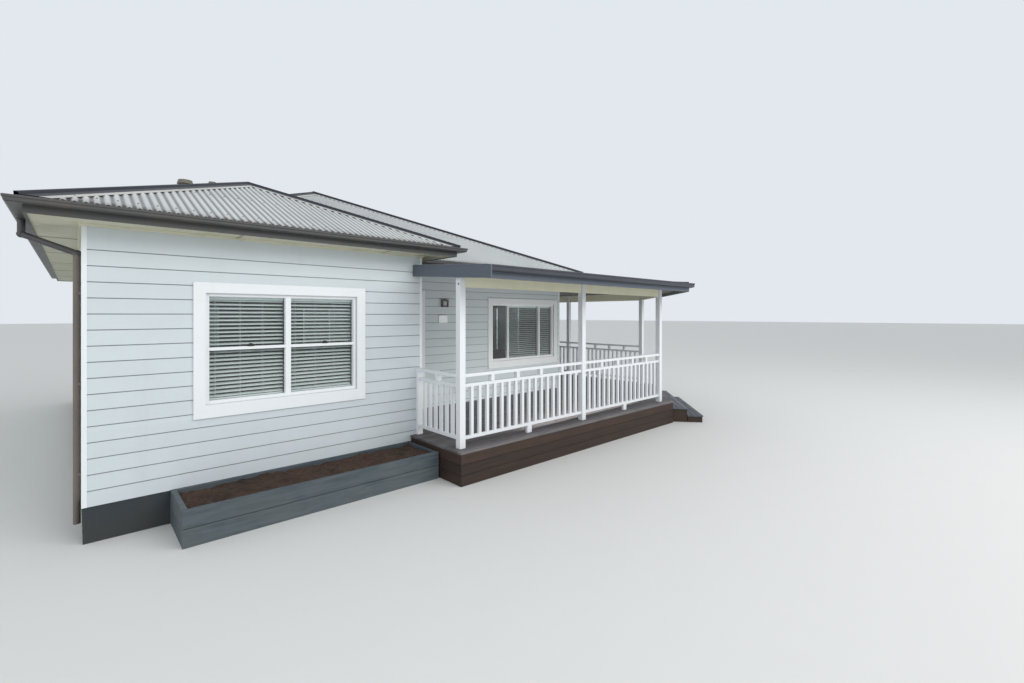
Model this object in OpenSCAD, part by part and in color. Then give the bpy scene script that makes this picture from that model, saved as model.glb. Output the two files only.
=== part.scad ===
// Single storey weatherboard beach house with a front wing, hipped metal roofs and a corner verandah.
// Lengths are millimetres. X runs right along the front, Y runs back, Z runs up from the ground.

/* [House] */
// Width of the front wing
wing_w = 3740; // [3000:10:4600]
// How far the wing stands forward of the main front wall
recess = 1580; // [1200:10:2200]
// Width of the main house
main_w = 8600; // [7800:10:10400]
// Depth of the main house
main_d = 8650; // [7200:10:10400]
// Height of the dark base under the boards
base_h = 350; // [200:5:600]
// Wall height from the first board up to the soffit
wall_h = 2720; // [2400:10:3300]
// Thickness of the outer walls
wall_t = 120; // [90:5:200]
// Height of the floor and the deck above the ground
floor_z = 440; // [380:5:700]
// How far a corner board reaches over each wall face
corner_w = 30; // [15:1:130]
// How far the corner boards stand out from the walls
corner_t = 10; // [6:1:40]

/* [Main roof] */
// Slope of the hipped roofs in degrees
pitch = 23.3; // [15:0.1:30]
// Distance from the wall face to the back of the fascia
eave = 360; // [250:5:600]
// Thickness of the roof structure
roof_t = 100; // [60:5:160]
// Height of the fascia board
fascia_h = 150; // [100:5:220]
// Thickness of the fascia board
fascia_t = 20; // [15:1:35]
// Width of the gutter
gutter_w = 115; // [80:5:150]
// Height of the gutter
gutter_h = 60; // [50:5:130]
// Thickness of the gutter metal
gutter_t = 3; // [2:0.5:5]
// Diameter of the downpipes
pipe_d = 60; // [50:5:110]

/* [Windows and door] */
// Width of the wing window opening
wing_win_w = 1730; // [1200:10:2200]
// Height of every window opening
win_h = 1233; // [900:10:1500]
// Height of the window sills above the first board
sill_h = 857; // [600:10:1100]
// Width of the verandah window opening
porch_win_w = 1930; // [1500:10:2200]
// Gap between the verandah window surround and the corner board
porch_win_gap = 65; // [0:1:200]
// Width of the window surround boards
trim_w = 115; // [80:5:150]
// How far the surround boards stand out from the wall
trim_t = 30; // [20:1:45]
// Width of the window frame members
sash_w = 34; // [25:1:60]
// Width of the mullions
mullion_w = 60; // [40:2:100]
// Width of the mullions of the verandah window
porch_mullion_w = 38; // [30:2:80]
// Thickness of the glass
glass_t = 6; // [4:1:10]
// Width of the door opening
door_w = 880; // [760:10:1000]
// Height of the door opening above the floor
door_h = 2150; // [2000:10:2300]
// Width of the boards around the door
door_trim = 70; // [50:5:90]

/* [Verandah] */
// Distance of the deck edge in front of the wing wall
deck_front = 1250; // [1000:10:1600]
// Distance of the deck edge beyond the right wall
deck_side = 2150; // [1800:10:2600]
// Length of the side deck behind the main front wall
deck_back = 3960; // [2400:10:6000]
// Angle of the cut corner to the front in degrees
cut_a = 40; // [35:1:50]
// Width taken off the corner of the deck along the front
cut_x = 1830; // [1400:10:2100]
// Side of a square post
post_w = 90; // [75:1:120]
// Distance from the deck edge to the post faces
post_in = 152; // [60:1:200]
// Height of the underside of the verandah beams above the deck
beam_z = 2128; // [2000:5:2300]
// Depth of the verandah beams
beam_h = 190; // [140:5:240]
// Thickness of the verandah beams
beam_t = 45; // [35:1:70]
// Slope of the verandah roof in degrees
porch_pitch = 4; // [2:0.5:6]
// Thickness of the verandah roof
porch_t = 80; // [50:5:120]
// Distance from the deck edge to the outside of the front fascia
porch_out = 437; // [250:1:600]
// Distance from the deck edge to the outside of the side fascia
porch_side = 250; // [150:5:400]
// Height of the verandah fascia
porch_fascia_h = 166; // [120:1:220]
// Height of the verandah gutter
porch_gutter_h = 80; // [60:5:120]
// Width of the verandah gutter
porch_gutter_w = 100; // [70:5:130]
// Thickness of the deck boards
board_t = 28; // [19:1:45]
// Thickness of the deck skirt
skirt_t = 25; // [18:1:40]
// Rise of each step
step_rise = 147; // [120:1:180]
// Depth of each step
step_run = 300; // [240:10:360]

/* [Balustrade] */
// Height of the top rail above the deck
rail_h = 975; // [900:5:1100]
// Height of a rail
rail_t = 42; // [30:1:60]
// Width of the top rail
cap_w = 70; // [60:5:90]
// Clear height between the two upper rails
block_h = 92; // [60:2:140]
// Width of the blocks between the two upper rails
block_w = 56; // [42:2:80]
// Height of the underside of the bottom rail above the deck
rail_low = 105; // [60:5:150]
// Side of a baluster
baluster_w = 42; // [30:1:45]
// Largest spacing between baluster centres
baluster_gap = 140; // [90:5:140]

/* [Planter and fittings] */
// Left edge of the planter from the left corner of the wing
planter_x = 684; // [400:10:1200]
// Gap between the planter and the deck
planter_gap = 10; // [0:5:200]
// Distance the planter stands forward of the wall
planter_d = 759; // [500:10:1000]
// Height of the planter
planter_h = 357; // [250:5:390]
// Thickness of the planter boards
planter_t = 50; // [35:5:75]
// Side of the square wall light
light_w = 145; // [100:5:200]
// Width of the number plate
plate_w = 200; // [140:5:260]

/* [Hidden] */
$fn = 40;
big = 20000;
back_y = recess + main_d;
rise = tan(pitch);
soffit_z = base_h + wall_h;
soffit_t = 10;
fascia_z = soffit_z - 10;
roof_z = fascia_z + fascia_h;
roof_v = roof_t / cos(pitch);
wall_top = roof_z - roof_v + eave * rise;
hub = (wing_w + 2 * eave) / 2;
wing_x = wing_w / 2;
half = (min(main_w, main_d) + 2 * eave) / 2;
yf = recess - eave;
yb = back_y + eave;
xr = main_w + eave;
gutter_z = roof_z - 25 - gutter_h;
sill_z = base_h + sill_h;
side_win_y = recess + main_d * 0.25;
far_win_y = recess + main_d * 0.72;
porch_win_x = main_w - corner_w - porch_win_gap - trim_w - porch_win_w / 2;
door_x = wing_w + door_trim + 30 + door_w / 2;
light_x = door_x + door_w / 2 + door_trim + 445;
plate_x = light_x - 35;
deck_l = wing_w - 190;
planter_w = deck_l - planter_gap - planter_x;
deck_r = main_w + deck_side;
deck_b = recess + deck_back;
deck_cut = deck_r - cut_x;
post_y = post_in - deck_front;
post_1 = wing_w - post_w - 6;
post_3 = deck_cut - 195 - post_w;
post_2 = (post_1 + post_3) / 2 + 30;
post_4 = deck_r - post_in - post_w;
post_4y = cut_y(0) + 190;
post_6y = deck_b - post_in - post_w;
post_5y = (post_4y + post_6y) / 2;
beam_top = floor_z + beam_z + beam_h;
porch_l = deck_l + 40;
porch_f = -deck_front - porch_out;
porch_r = deck_r + porch_side;
porch_b = deck_b + 250;
porch_cut = deck_cut - 210;
porch_rise = tan(porch_pitch);
porch_v = porch_t / cos(porch_pitch);
porch_z = beam_top + porch_v - (post_y - porch_f - fascia_t) * porch_rise;
porch_fascia_z = porch_z + 15 - porch_fascia_h;
porch_gutter_z = porch_z + 10 - porch_gutter_h;

// Outline of the house at a distance outside the wall faces
function around(d) = [[-d, -d], [wing_w + d, -d], [wing_w + d, recess - d], [main_w + d, recess - d],
    [main_w + d, back_y + d], [-d, back_y + d]];

// Where the cut corner of the deck meets its right edge
function cut_y(d) = -deck_front + cut_x * tan(cut_a) + d * tan(45 - cut_a / 2);

// Outer edge of the deck moved in by a distance
function deck_edge(d) = [[deck_l + d, -deck_front + d], [deck_cut - d * tan(cut_a / 2), -deck_front + d],
    [deck_r - d, cut_y(d)], [deck_r - d, deck_b - d]];

// Outer edge of the verandah roof moved out by a distance
function porch_edge(d) = [[porch_cut + d * tan(cut_a / 2), porch_f - d],
    [porch_r + d, porch_f + (porch_r - porch_cut) * tan(cut_a) - d * tan(45 - cut_a / 2)]];

// Edge against the house, cut around two corner boards, from its back end to its front end
function house_edge(b, l) = [[main_w, b], [main_w, recess + corner_w], [main_w + corner_t, recess + corner_w],
    [main_w + corner_t, recess - corner_t], [main_w - corner_w, recess - corner_t],
    [main_w - corner_w, recess], [wing_w, recess], [wing_w, corner_w], [wing_w + corner_t, corner_w],
    [wing_w + corner_t, -corner_t], [wing_w - corner_w, -corner_t], [wing_w - corner_w, 0], [l, 0]];

// Plan of the verandah roof with its outer edges and its two ends moved out by distances
function porch_plan(d, e) = concat([[porch_l - e, porch_f - d]], porch_edge(d), [[porch_r + d, porch_b + e]],
    house_edge(porch_b + e, porch_l - e));

// Point and direction of the three planes of the verandah roof at a height above its lower edge
function porch_slopes(h) = let (a = porch_edge(-fascia_t))
    [[[0, a[0][1], porch_z + h], 90], [[a[0][0], a[0][1], porch_z + h], cut_a + 90],
    [[a[1][0], 0, porch_z + h], 180]];

// Each opening as x, y, turn, width, mullion positions and mullion width
function wing_win() = [wing_x - 5, 0, 0, wing_win_w, [0.5], mullion_w];
function porch_win() = [porch_win_x, recess, 0, porch_win_w, [0.246, 0.754], porch_mullion_w];
function other_wins() = [
    for (p = [[0, side_win_y, -90], [0, far_win_y, -90], [main_w, side_win_y, 90], [main_w, far_win_y, 90],
        [main_w * 0.26, back_y, 180], [main_w * 0.74, back_y, 180]])
        concat(p, [wing_win_w, [0.5], mullion_w])];

// Left and right edge of one light of an opening
function light(w, i) = [i == 0 ? sash_w : w[4][i - 1] * w[3] + w[5] / 2,
    i == len(w[4]) ? w[3] - sash_w : w[4][i] * w[3] - w[5] / 2];

// Everything is moved so that the middle of the plan is the origin
module place() {
    translate([-(porch_r + porch_gutter_w - eave - fascia_t - gutter_w) / 2,
        -(back_y + eave + fascia_t + gutter_w + porch_f - porch_gutter_w) / 2, 0])
        children();
}

// Upright ring around the house between two distances and two heights
module ring(d0, d1, z0, z1) {
    translate([0, 0, z0])
        linear_extrude(z1 - z0)
            difference() {
                polygon(around(d1));
                polygon(around(d0));
            }
}

// Slab whose top passes through a point and rises towards a direction
module tilted(p, dir, slope, t) {
    translate(p)
        rotate([0, 0, dir - 90])
            rotate([slope, 0, 0])
                translate([-big, -big, -t])
                    cube([2 * big, 2 * big, t]);
}

// Everything above a plane through a point that rises towards a direction
module above(p, dir, slope) {
    translate(p)
        rotate([0, 0, dir - 90])
            rotate([slope, 0, 0])
                translate([-big, -big, 0])
                    cube([2 * big, 2 * big, big]);
}

// Roof plane cut upright to its outline in plan
module roof_plane(pts, p, dir) {
    intersection() {
        translate([0, 0, 2000])
            linear_extrude(6000)
                polygon(pts);
        tilted(p, dir, pitch, roof_t);
    }
}

// Frame of an opening with x along the wall and y into it
module at_opening(w) {
    translate([w[0], w[1], 0])
        rotate([0, 0, w[2]])
            translate([-w[3] / 2, 0, sill_z])
                children();
}

// Hole through a wall for a window
module window_hole(w) {
    at_opening(w)
        translate([0, -50, 0])
            cube([w[3], wall_t + 100, win_h]);
}

// Boards around the outside of a window
module surround(w) {
    at_opening(w)
        difference() {
            translate([-trim_w, -trim_t, -trim_w - 28])
                cube([w[3] + 2 * trim_w, trim_t, win_h + 2 * trim_w + 28]);
            translate([0, -trim_t - 50, 0])
                cube([w[3], trim_t + 100, win_h]);
        }
}

// Frame and mullions inside a window opening
module frame(w) {
    at_opening(w)
        difference() {
            translate([0, 8, 0])
                cube([w[3], 70, win_h]);
            for (i = [0:len(w[4])])
                let (e = light(w, i))
                    translate([e[0], -50, sash_w])
                        cube([e[1] - e[0], 200, win_h - 2 * sash_w]);
        }
}

// Panes of a window
module panes(w) {
    at_opening(w)
        for (i = [0:len(w[4])])
            let (e = light(w, i))
                translate([e[0], 34, sash_w])
                    cube([e[1] - e[0], glass_t, win_h - 2 * sash_w]);
}

// Dark base under the walls, also the face the house rests on
module base_wall() {
    color([0.16, 0.19, 0.22])
        ring(-wall_t - 60, 0, 0, base_h);
}

// Floor inside the walls
module floor_slab() {
    color([0.5, 0.4, 0.3])
        translate([0, 0, base_h])
            linear_extrude(floor_z - base_h)
                polygon(around(-wall_t));
}

// Front wall of the wing
module wall_wing_front() {
    color([0.76, 0.81, 0.85])
        difference() {
            translate([0, 0, base_h])
                cube([wing_w, wall_t, wall_top - base_h]);
            window_hole(wing_win());
        }
}

// Left wall of the wing and the main house in one line
module wall_left() {
    color([0.76, 0.81, 0.85])
        difference() {
            translate([0, wall_t, base_h])
                cube([wall_t, back_y - 2 * wall_t, wall_top - base_h]);
            window_hole(other_wins()[0]);
            window_hole(other_wins()[1]);
        }
}

// Right wall of the wing and the main front wall beside it
module wall_recess() {
    color([0.76, 0.81, 0.85])
        difference() {
            translate([0, 0, base_h])
                linear_extrude(wall_top - base_h)
                    polygon([[wing_w - wall_t, wall_t], [wing_w, wall_t], [wing_w, recess], [main_w, recess],
                        [main_w, recess + wall_t], [wing_w - wall_t, recess + wall_t]]);
            window_hole(porch_win());
            translate([door_x - door_w / 2, recess - 50, floor_z])
                cube([door_w, wall_t + 100, door_h]);
        }
}

// Right wall of the main house
module wall_right() {
    color([0.76, 0.81, 0.85])
        difference() {
            translate([main_w - wall_t, recess + wall_t, base_h])
                cube([wall_t, main_d - 2 * wall_t, wall_top - base_h]);
            window_hole(other_wins()[2]);
            window_hole(other_wins()[3]);
        }
}

// Back wall of the main house
module wall_back() {
    color([0.76, 0.81, 0.85])
        difference() {
            translate([0, back_y - wall_t, base_h])
                cube([main_w, wall_t, wall_top - base_h]);
            window_hole(other_wins()[4]);
            window_hole(other_wins()[5]);
        }
}

// One corner board, an angle of two boards that stand out from both walls
module corner_board(x, y, sx, sy) {
    translate([x, y, base_h])
        linear_extrude(wall_h)
            polygon([[sx * corner_t, sy * corner_t], [sx * corner_t, -sy * corner_w], [0, -sy * corner_w],
                [0, 0], [-sx * corner_w, 0], [-sx * corner_w, sy * corner_t]]);
}

// Corner boards on the five outside corners
module corner_boards() {
    color([0.93, 0.95, 0.97]) {
        corner_board(0, 0, -1, -1);
        corner_board(wing_w, 0, 1, -1);
        corner_board(main_w, recess, 1, -1);
        corner_board(main_w, back_y, 1, 1);
        corner_board(0, back_y, -1, 1);
    }
}

// Surround of the wing window
module wing_window_surround() {
    color([0.95, 0.96, 0.98])
        surround(wing_win());
}

// Frame of the wing window
module wing_window_frame() {
    color([0.95, 0.96, 0.98])
        frame(wing_win());
}

// Surround of the verandah window
module verandah_window_surround() {
    color([0.95, 0.96, 0.98])
        surround(porch_win());
}

// Frame of the verandah window
module verandah_window_frame() {
    color([0.95, 0.96, 0.98])
        frame(porch_win());
}

// Surrounds of the side and back windows
module other_window_surrounds() {
    color([0.95, 0.96, 0.98])
        for (w = other_wins())
            surround(w);
}

// Frames of the side and back windows
module other_window_frames() {
    color([0.95, 0.96, 0.98])
        for (w = other_wins())
            frame(w);
}

// All window panes
module window_glass() {
    color([0.35, 0.4, 0.45, 0.5]) {
        panes(wing_win());
        panes(porch_win());
        for (w = other_wins())
            panes(w);
    }
}

// Front door leaf, closed
module front_door() {
    color([0.93, 0.95, 0.97])
        translate([door_x - door_w / 2 + 35, recess + 40, floor_z])
            cube([door_w - 70, 40, door_h - 35]);
}

// Jambs, head and outside boards of the front door
module door_frame() {
    color([0.93, 0.95, 0.97])
        difference() {
            union() {
                translate([door_x - door_w / 2, recess, floor_z])
                    cube([door_w, wall_t, door_h]);
                translate([door_x - door_w / 2 - door_trim, recess - trim_t, floor_z])
                    cube([door_w + 2 * door_trim, trim_t, door_h + door_trim]);
            }
            translate([door_x - door_w / 2 + 35, recess - 100, floor_z - 10])
                cube([door_w - 70, wall_t + 200, door_h - 25]);
        }
}

// Left roof plane of the wing and the main house in one
module roof_left() {
    color([0.78, 0.8, 0.8])
        roof_plane([[-eave, -eave], [wing_x, hub - eave], [wing_x, yf + hub], [half - eave, yf + half],
            [half - eave, yb - half], [-eave, yb]], [-eave, 0, roof_z], 0);
}

// Front hip of the wing roof
module roof_wing_front() {
    color([0.78, 0.8, 0.8])
        roof_plane([[-eave, -eave], [wing_w + eave, -eave], [wing_x, hub - eave]], [0, -eave, roof_z], 90);
}

// Right plane of the wing roof down to the valley
module roof_wing_right() {
    color([0.78, 0.8, 0.8])
        roof_plane([[wing_w + eave, -eave], [wing_w + eave, yf], [wing_x, yf + hub], [wing_x, hub - eave]],
            [wing_w + eave, 0, roof_z], 180);
}

// Front plane of the main roof beside the wing
module roof_main_front() {
    color([0.78, 0.8, 0.8])
        roof_plane([[wing_w + eave, yf], [xr, yf], [xr - half, yf + half], [half - eave, yf + half],
            [wing_x, yf + hub]], [0, yf, roof_z], 90);
}

// Right plane of the main roof
module roof_main_right() {
    color([0.78, 0.8, 0.8])
        roof_plane([[xr, yf], [xr, yb], [xr - half, yb - half], [xr - half, yf + half]],
            [xr, 0, roof_z], 180);
}

// Back plane of the main roof
module roof_main_back() {
    color([0.78, 0.8, 0.8])
        roof_plane([[xr, yb], [-eave, yb], [half - eave, yb - half], [xr - half, yb - half]],
            [0, yb, roof_z], -90);
}

// Fascia board around the eaves
module fascia() {
    color([0.27, 0.3, 0.34])
        ring(eave, eave + fascia_t, fascia_z, roof_z - 8);
}

// Soffit lining from the walls to the fascia
module soffit() {
    color([0.86, 0.86, 0.83])
        ring(0, eave, soffit_z, soffit_z + soffit_t);
}

// Gutter around the eaves
module gutter() {
    color([0.27, 0.3, 0.34])
        difference() {
            ring(eave + fascia_t, eave + fascia_t + gutter_w, gutter_z, gutter_z + gutter_h);
            ring(eave + fascia_t + gutter_t, eave + fascia_t + gutter_w - gutter_t, gutter_z + gutter_t,
                gutter_z + gutter_h + 50);
        }
}

// Straight length of pipe between two points
module pipe(a, b) {
    v = b - a;
    l = norm(v);
    translate(a)
        rotate([0, acos(v[2] / l), atan2(v[1], v[0])])
            cylinder(d = pipe_d, h = l);
}

// Round socket where two lengths of pipe meet
module socket(a) {
    translate(a)
        sphere(d = pipe_d + 12);
}

// Downpipe from the gutter across to the left wall and down
module downpipe() {
    x0 = -eave - fascia_t - gutter_w / 2;
    x1 = -pipe_d / 2 - corner_t;
    a = [x0, 520, fascia_z - 75];
    b = [x1, 300, fascia_z - 250];
    pipe(a, [a[0], a[1], gutter_z]);
    pipe(a, b);
    socket(a);
    socket(b);
    pipe([x1, 300, 120], b);
    for (z = [600, 1500, 2400])
        translate([x1, 300 - pipe_d / 2 - 3, z])
            cube([-x1, pipe_d + 6, 25]);
}

// Downpipes at the front left and at the back right corner
module downpipes() {
    color([0.42, 0.38, 0.35]) {
        downpipe();
        translate([main_w, back_y, 0])
            rotate([0, 0, 180])
                downpipe();
    }
}

// Small vent with a cap, standing on the left roof plane
module roof_vent(x, y, d, h) {
    z = roof_z + (x + eave) * rise;
    difference() {
        union() {
            translate([x, y, z - 100])
                cylinder(d = d, h = h + 50);
            translate([x, y, z + h - 60])
                cylinder(d1 = d * 1.7, d2 = d * 1.45, h = 60);
        }
        tilted([-eave, 0, roof_z], 0, pitch, 1000);
    }
}

// Two vents behind the left hip of the wing
module roof_vents() {
    color([0.35, 0.38, 0.42]) {
        roof_vent(wing_x - 642, recess + 1320, 130, 430);
        roof_vent(wing_x - 365, recess + 810, 70, 230);
    }
}

// Whatever is inside, cut off where the three verandah roof planes are at a height
module cut_at_slopes(h) {
    difference() {
        children();
        for (s = porch_slopes(h))
            above(s[0], s[1], porch_pitch);
    }
}

// Verandah roof of three low planes meeting at the cut corner
module verandah_roof() {
    color([0.72, 0.75, 0.78])
        difference() {
            cut_at_slopes(0)
                linear_extrude(4500)
                    polygon(porch_plan(-fascia_t, -fascia_t));
            cut_at_slopes(-porch_v)
                translate([-big, -big, -1000])
                    cube([2 * big, 2 * big, 7000]);
        }
}

// Outer edges of the verandah roof as a strip between two distances
module porch_strip(d0, d1) {
    difference() {
        polygon(porch_plan(d1, 0));
        polygon(concat([[porch_l - 100, porch_f - d0]], porch_edge(d0), [[porch_r + d0, porch_b + 100],
            [porch_l - 100, porch_b + 100]]));
    }
}

// Fascia of the verandah roof and its sloping end boards, which also close the gutter
module verandah_fascia() {
    s = porch_slopes(15);
    color([0.35, 0.39, 0.46]) {
        translate([0, 0, porch_fascia_z])
            linear_extrude(porch_fascia_h)
                porch_strip(-fascia_t, 0);
        intersection() {
            translate([porch_l, porch_f - porch_gutter_w, 0])
                cube([fascia_t, porch_gutter_w - porch_f, 9000]);
            tilted(s[0][0], s[0][1], porch_pitch, porch_fascia_h);
        }
        intersection() {
            translate([main_w, porch_b - fascia_t, 0])
                cube([porch_r + porch_gutter_w - main_w, fascia_t, 9000]);
            tilted(s[2][0], s[2][1], porch_pitch, porch_fascia_h);
        }
    }
}

// The same strip cut back at both ends by the end boards and a further distance
module gutter_strip(d0, d1, e) {
    difference() {
        porch_strip(d0, d1);
        translate([porch_l - 50, porch_f - 500])
            square([50 + fascia_t + e, 1000]);
        translate([porch_r - 500, porch_b - fascia_t - e])
            square([1000, 50 + fascia_t]);
    }
}

// Gutter between the end boards, along the front, the cut corner and the side of the verandah
module verandah_gutter() {
    color([0.3, 0.32, 0.36])
        translate([0, 0, porch_gutter_z])
            difference() {
                linear_extrude(porch_gutter_h)
                    gutter_strip(0, porch_gutter_w, 0);
                translate([0, 0, gutter_t])
                    linear_extrude(porch_gutter_h)
                        gutter_strip(gutter_t, porch_gutter_w - gutter_t, gutter_t);
            }
}

// Beam between two points on the post line
module beam(a, b) {
    v = b - a;
    translate([a[0], a[1], floor_z + beam_z])
        rotate([0, 0, atan2(v[1], v[0])])
            translate([0, -beam_t / 2, 0])
                cube([norm(v), beam_t, beam_h + 200]);
}

// Middle of each post in plan
function posts() = [[post_1 + post_w / 2, post_y + post_w / 2], [post_2 + post_w / 2, post_y + post_w / 2],
    [post_3 + post_w / 2, post_y + post_w / 2], [post_4 + post_w / 2, post_4y + post_w / 2],
    [post_4 + post_w / 2, post_5y + post_w / 2], [post_4 + post_w / 2, post_6y + post_w / 2]];

// Beams between the posts, and from the last post to the wall
module verandah_beams() {
    p = posts();
    color([0.93, 0.94, 0.9])
        difference() {
            cut_at_slopes(-porch_v) {
                for (i = [0:4])
                    beam(p[i], p[i + 1]);
                beam([main_w, p[5][1]], p[5]);
            }
            for (q = p)
                translate([q[0] - post_w / 2, q[1] - post_w / 2, floor_z])
                    cube([post_w, post_w, 4000]);
        }
}

// Square posts from the deck to the verandah roof
module verandah_posts() {
    color([0.95, 0.96, 0.98])
        cut_at_slopes(-porch_v)
            for (q = posts())
                translate([q[0] - post_w / 2, q[1] - post_w / 2, floor_z])
                    cube([post_w, post_w, beam_z + beam_h + 200]);
}

// Balustrade panel between two points, with blocks between its upper rails and a foot at mid length
module panel(a, b, foot) {
    v = b - a;
    l = norm(v);
    n = ceil(l / baluster_gap) - 1;
    m = max(1, round(l / 500) - 1);
    low = rail_h - 2 * rail_t - block_h;
    translate([a[0], a[1], floor_z])
        rotate([0, 0, atan2(v[1], v[0])]) {
            translate([0, -cap_w / 2, rail_h - rail_t])
                cube([l, cap_w, rail_t]);
            translate([0, -rail_t / 2, low])
                cube([l, rail_t, rail_t]);
            translate([0, -rail_t / 2, rail_low])
                cube([l, rail_t, rail_t]);
            for (i = [1:m])
                translate([i * l / (m + 1) - block_w / 2, -cap_w / 2, low + rail_t])
                    cube([block_w, cap_w, block_h]);
            for (i = [1:n])
                translate([i * l / (n + 1) - baluster_w / 2, -baluster_w / 2, rail_low + rail_t])
                    cube([baluster_w, baluster_w, low - rail_low - rail_t]);
            if (foot)
                translate([l / 2 - 45, -rail_t / 2, 0])
                    cube([90, rail_t, rail_low]);
        }
}

// Half post on the wing wall and the panel from it to the corner post
module balustrade_left() {
    p = posts();
    color([0.95, 0.96, 0.98]) {
        panel([p[0][0], p[0][1] + post_w / 2], [p[0][0], -corner_t - 45], false);
        translate([post_1, -corner_t - 45, floor_z])
            cube([post_w, 45, rail_h]);
    }
}

// Left bay of the front balustrade
module balustrade_front_left() {
    p = posts();
    color([0.95, 0.96, 0.98])
        panel([p[0][0] + post_w / 2, p[0][1]], [p[1][0] - post_w / 2, p[1][1]], true);
}

// Right bay of the front balustrade
module balustrade_front_right() {
    p = posts();
    color([0.95, 0.96, 0.98])
        panel([p[1][0] + post_w / 2, p[1][1]], [p[2][0] - post_w / 2, p[2][1]], true);
}

// Side bays of the balustrade and the return to the house
module balustrade_side() {
    p = posts();
    color([0.95, 0.96, 0.98]) {
        panel([p[3][0], p[3][1] + post_w / 2], [p[4][0], p[4][1] - post_w / 2], true);
        panel([p[4][0], p[4][1] + post_w / 2], [p[5][0], p[5][1] - post_w / 2], true);
        panel([main_w, p[5][1]], [p[5][0] - post_w / 2, p[5][1]], true);
    }
}

// Plan of the deck with its outer edges moved in by a distance
module deck_plan(d) {
    polygon(concat(deck_edge(d), house_edge(deck_b - d, deck_l + d)));
}

// Deck around the front and the right side
module deck_floor() {
    color([0.4, 0.37, 0.35])
        translate([0, 0, floor_z - board_t])
            linear_extrude(board_t)
                deck_plan(0);
}

// Boarded skirt under the edge of the deck
module deck_skirt() {
    color([0.27, 0.17, 0.12])
        linear_extrude(floor_z - board_t)
            difference() {
                deck_plan(12);
                deck_plan(12 + skirt_t);
            }
}

// One platform step along the cut corner, numbered down from the deck
module step(i) {
    h = floor_z - i * step_rise;
    l = cut_x / cos(cut_a);
    translate([deck_cut, -deck_front, 0])
        rotate([0, 0, cut_a]) {
            translate([l * 0.03, -i * step_run, h - board_t])
                cube([l * 0.94, step_run + 12, board_t]);
            translate([l * 0.04, -i * step_run + 12, 0])
                cube([l * 0.92, skirt_t, h - board_t]);
            for (x = [l * 0.04, l * 0.96 - skirt_t])
                translate([x, -i * step_run + 12 + skirt_t, 0])
                    cube([skirt_t, step_run - skirt_t - 14, h - board_t]);
        }
}

// Two platform steps up to the deck
module steps() {
    color([0.33, 0.25, 0.2]) {
        step(1);
        step(2);
    }
}

// Planter box of boards against the wing
module planter_box() {
    color([0.24, 0.31, 0.35])
        translate([planter_x, -planter_d, 0])
            difference() {
                cube([planter_w, planter_d, planter_h]);
                translate([planter_t, planter_t, 30])
                    cube([planter_w - 2 * planter_t, planter_d - 2 * planter_t, planter_h]);
            }
}

// Soil in the planter
module planter_soil() {
    color([0.3, 0.19, 0.13])
        translate([planter_x + planter_t, -planter_d + planter_t, 30])
            cube([planter_w - 2 * planter_t, planter_d - 2 * planter_t, planter_h - 60]);
}

// Square light beside the door
module wall_light() {
    color([0.3, 0.27, 0.24])
        translate([light_x - light_w / 2, recess - trim_t - 35, base_h + 2073 - light_w / 2])
            cube([light_w, trim_t + 35, light_w]);
}

// Plain plate under the light
module number_plate() {
    color([0.94, 0.94, 0.93])
        translate([plate_x - plate_w / 2, recess - trim_t - 4, base_h + 1771 - plate_w * 0.36])
            cube([plate_w, trim_t + 4, plate_w * 0.72]);
}

place() base_wall();
place() floor_slab();
place() wall_wing_front();
place() wall_left();
place() wall_recess();
place() wall_right();
place() wall_back();
place() corner_boards();
place() wing_window_surround();
place() wing_window_frame();
place() verandah_window_surround();
place() verandah_window_frame();
place() other_window_surrounds();
place() other_window_frames();
place() window_glass();
place() front_door();
place() door_frame();
place() roof_left();
place() roof_wing_front();
place() roof_wing_right();
place() roof_main_front();
place() roof_main_right();
place() roof_main_back();
place() fascia();
place() soffit();
place() gutter();
place() downpipes();
place() roof_vents();
place() verandah_roof();
place() verandah_fascia();
place() verandah_gutter();
place() verandah_beams();
place() verandah_posts();
place() balustrade_left();
place() balustrade_front_left();
place() balustrade_front_right();
place() balustrade_side();
place() deck_floor();
place() deck_skirt();
place() steps();
place() planter_box();
place() planter_soil();
place() wall_light();
place() number_plate();
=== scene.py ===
"""Looks of the beach house: boards, metal roofs, gutters, blinds, deck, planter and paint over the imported
model.

Lengths are metres. Shapes are worked out from the front left corner of the wing, X right, Y back, Z up,
and moved by SHIFT so that the middle of the plan is the origin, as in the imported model."""

import math

import bpy
import numpy as np
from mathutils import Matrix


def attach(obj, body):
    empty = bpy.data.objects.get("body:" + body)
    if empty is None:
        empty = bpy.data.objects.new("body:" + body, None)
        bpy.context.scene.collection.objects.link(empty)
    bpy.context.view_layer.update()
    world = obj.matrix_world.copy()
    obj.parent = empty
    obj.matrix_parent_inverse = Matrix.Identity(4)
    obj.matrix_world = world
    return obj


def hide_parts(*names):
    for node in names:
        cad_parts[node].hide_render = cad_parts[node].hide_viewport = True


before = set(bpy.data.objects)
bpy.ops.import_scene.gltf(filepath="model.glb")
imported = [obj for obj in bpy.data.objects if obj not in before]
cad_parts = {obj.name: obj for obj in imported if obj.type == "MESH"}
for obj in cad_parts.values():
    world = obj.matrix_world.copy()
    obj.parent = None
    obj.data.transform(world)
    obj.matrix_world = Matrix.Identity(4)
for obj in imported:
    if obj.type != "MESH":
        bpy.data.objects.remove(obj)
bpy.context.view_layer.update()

# Driving sizes: plan, heights, trims, roof, windows, deck and the turn of the cut corner in degrees

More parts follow.
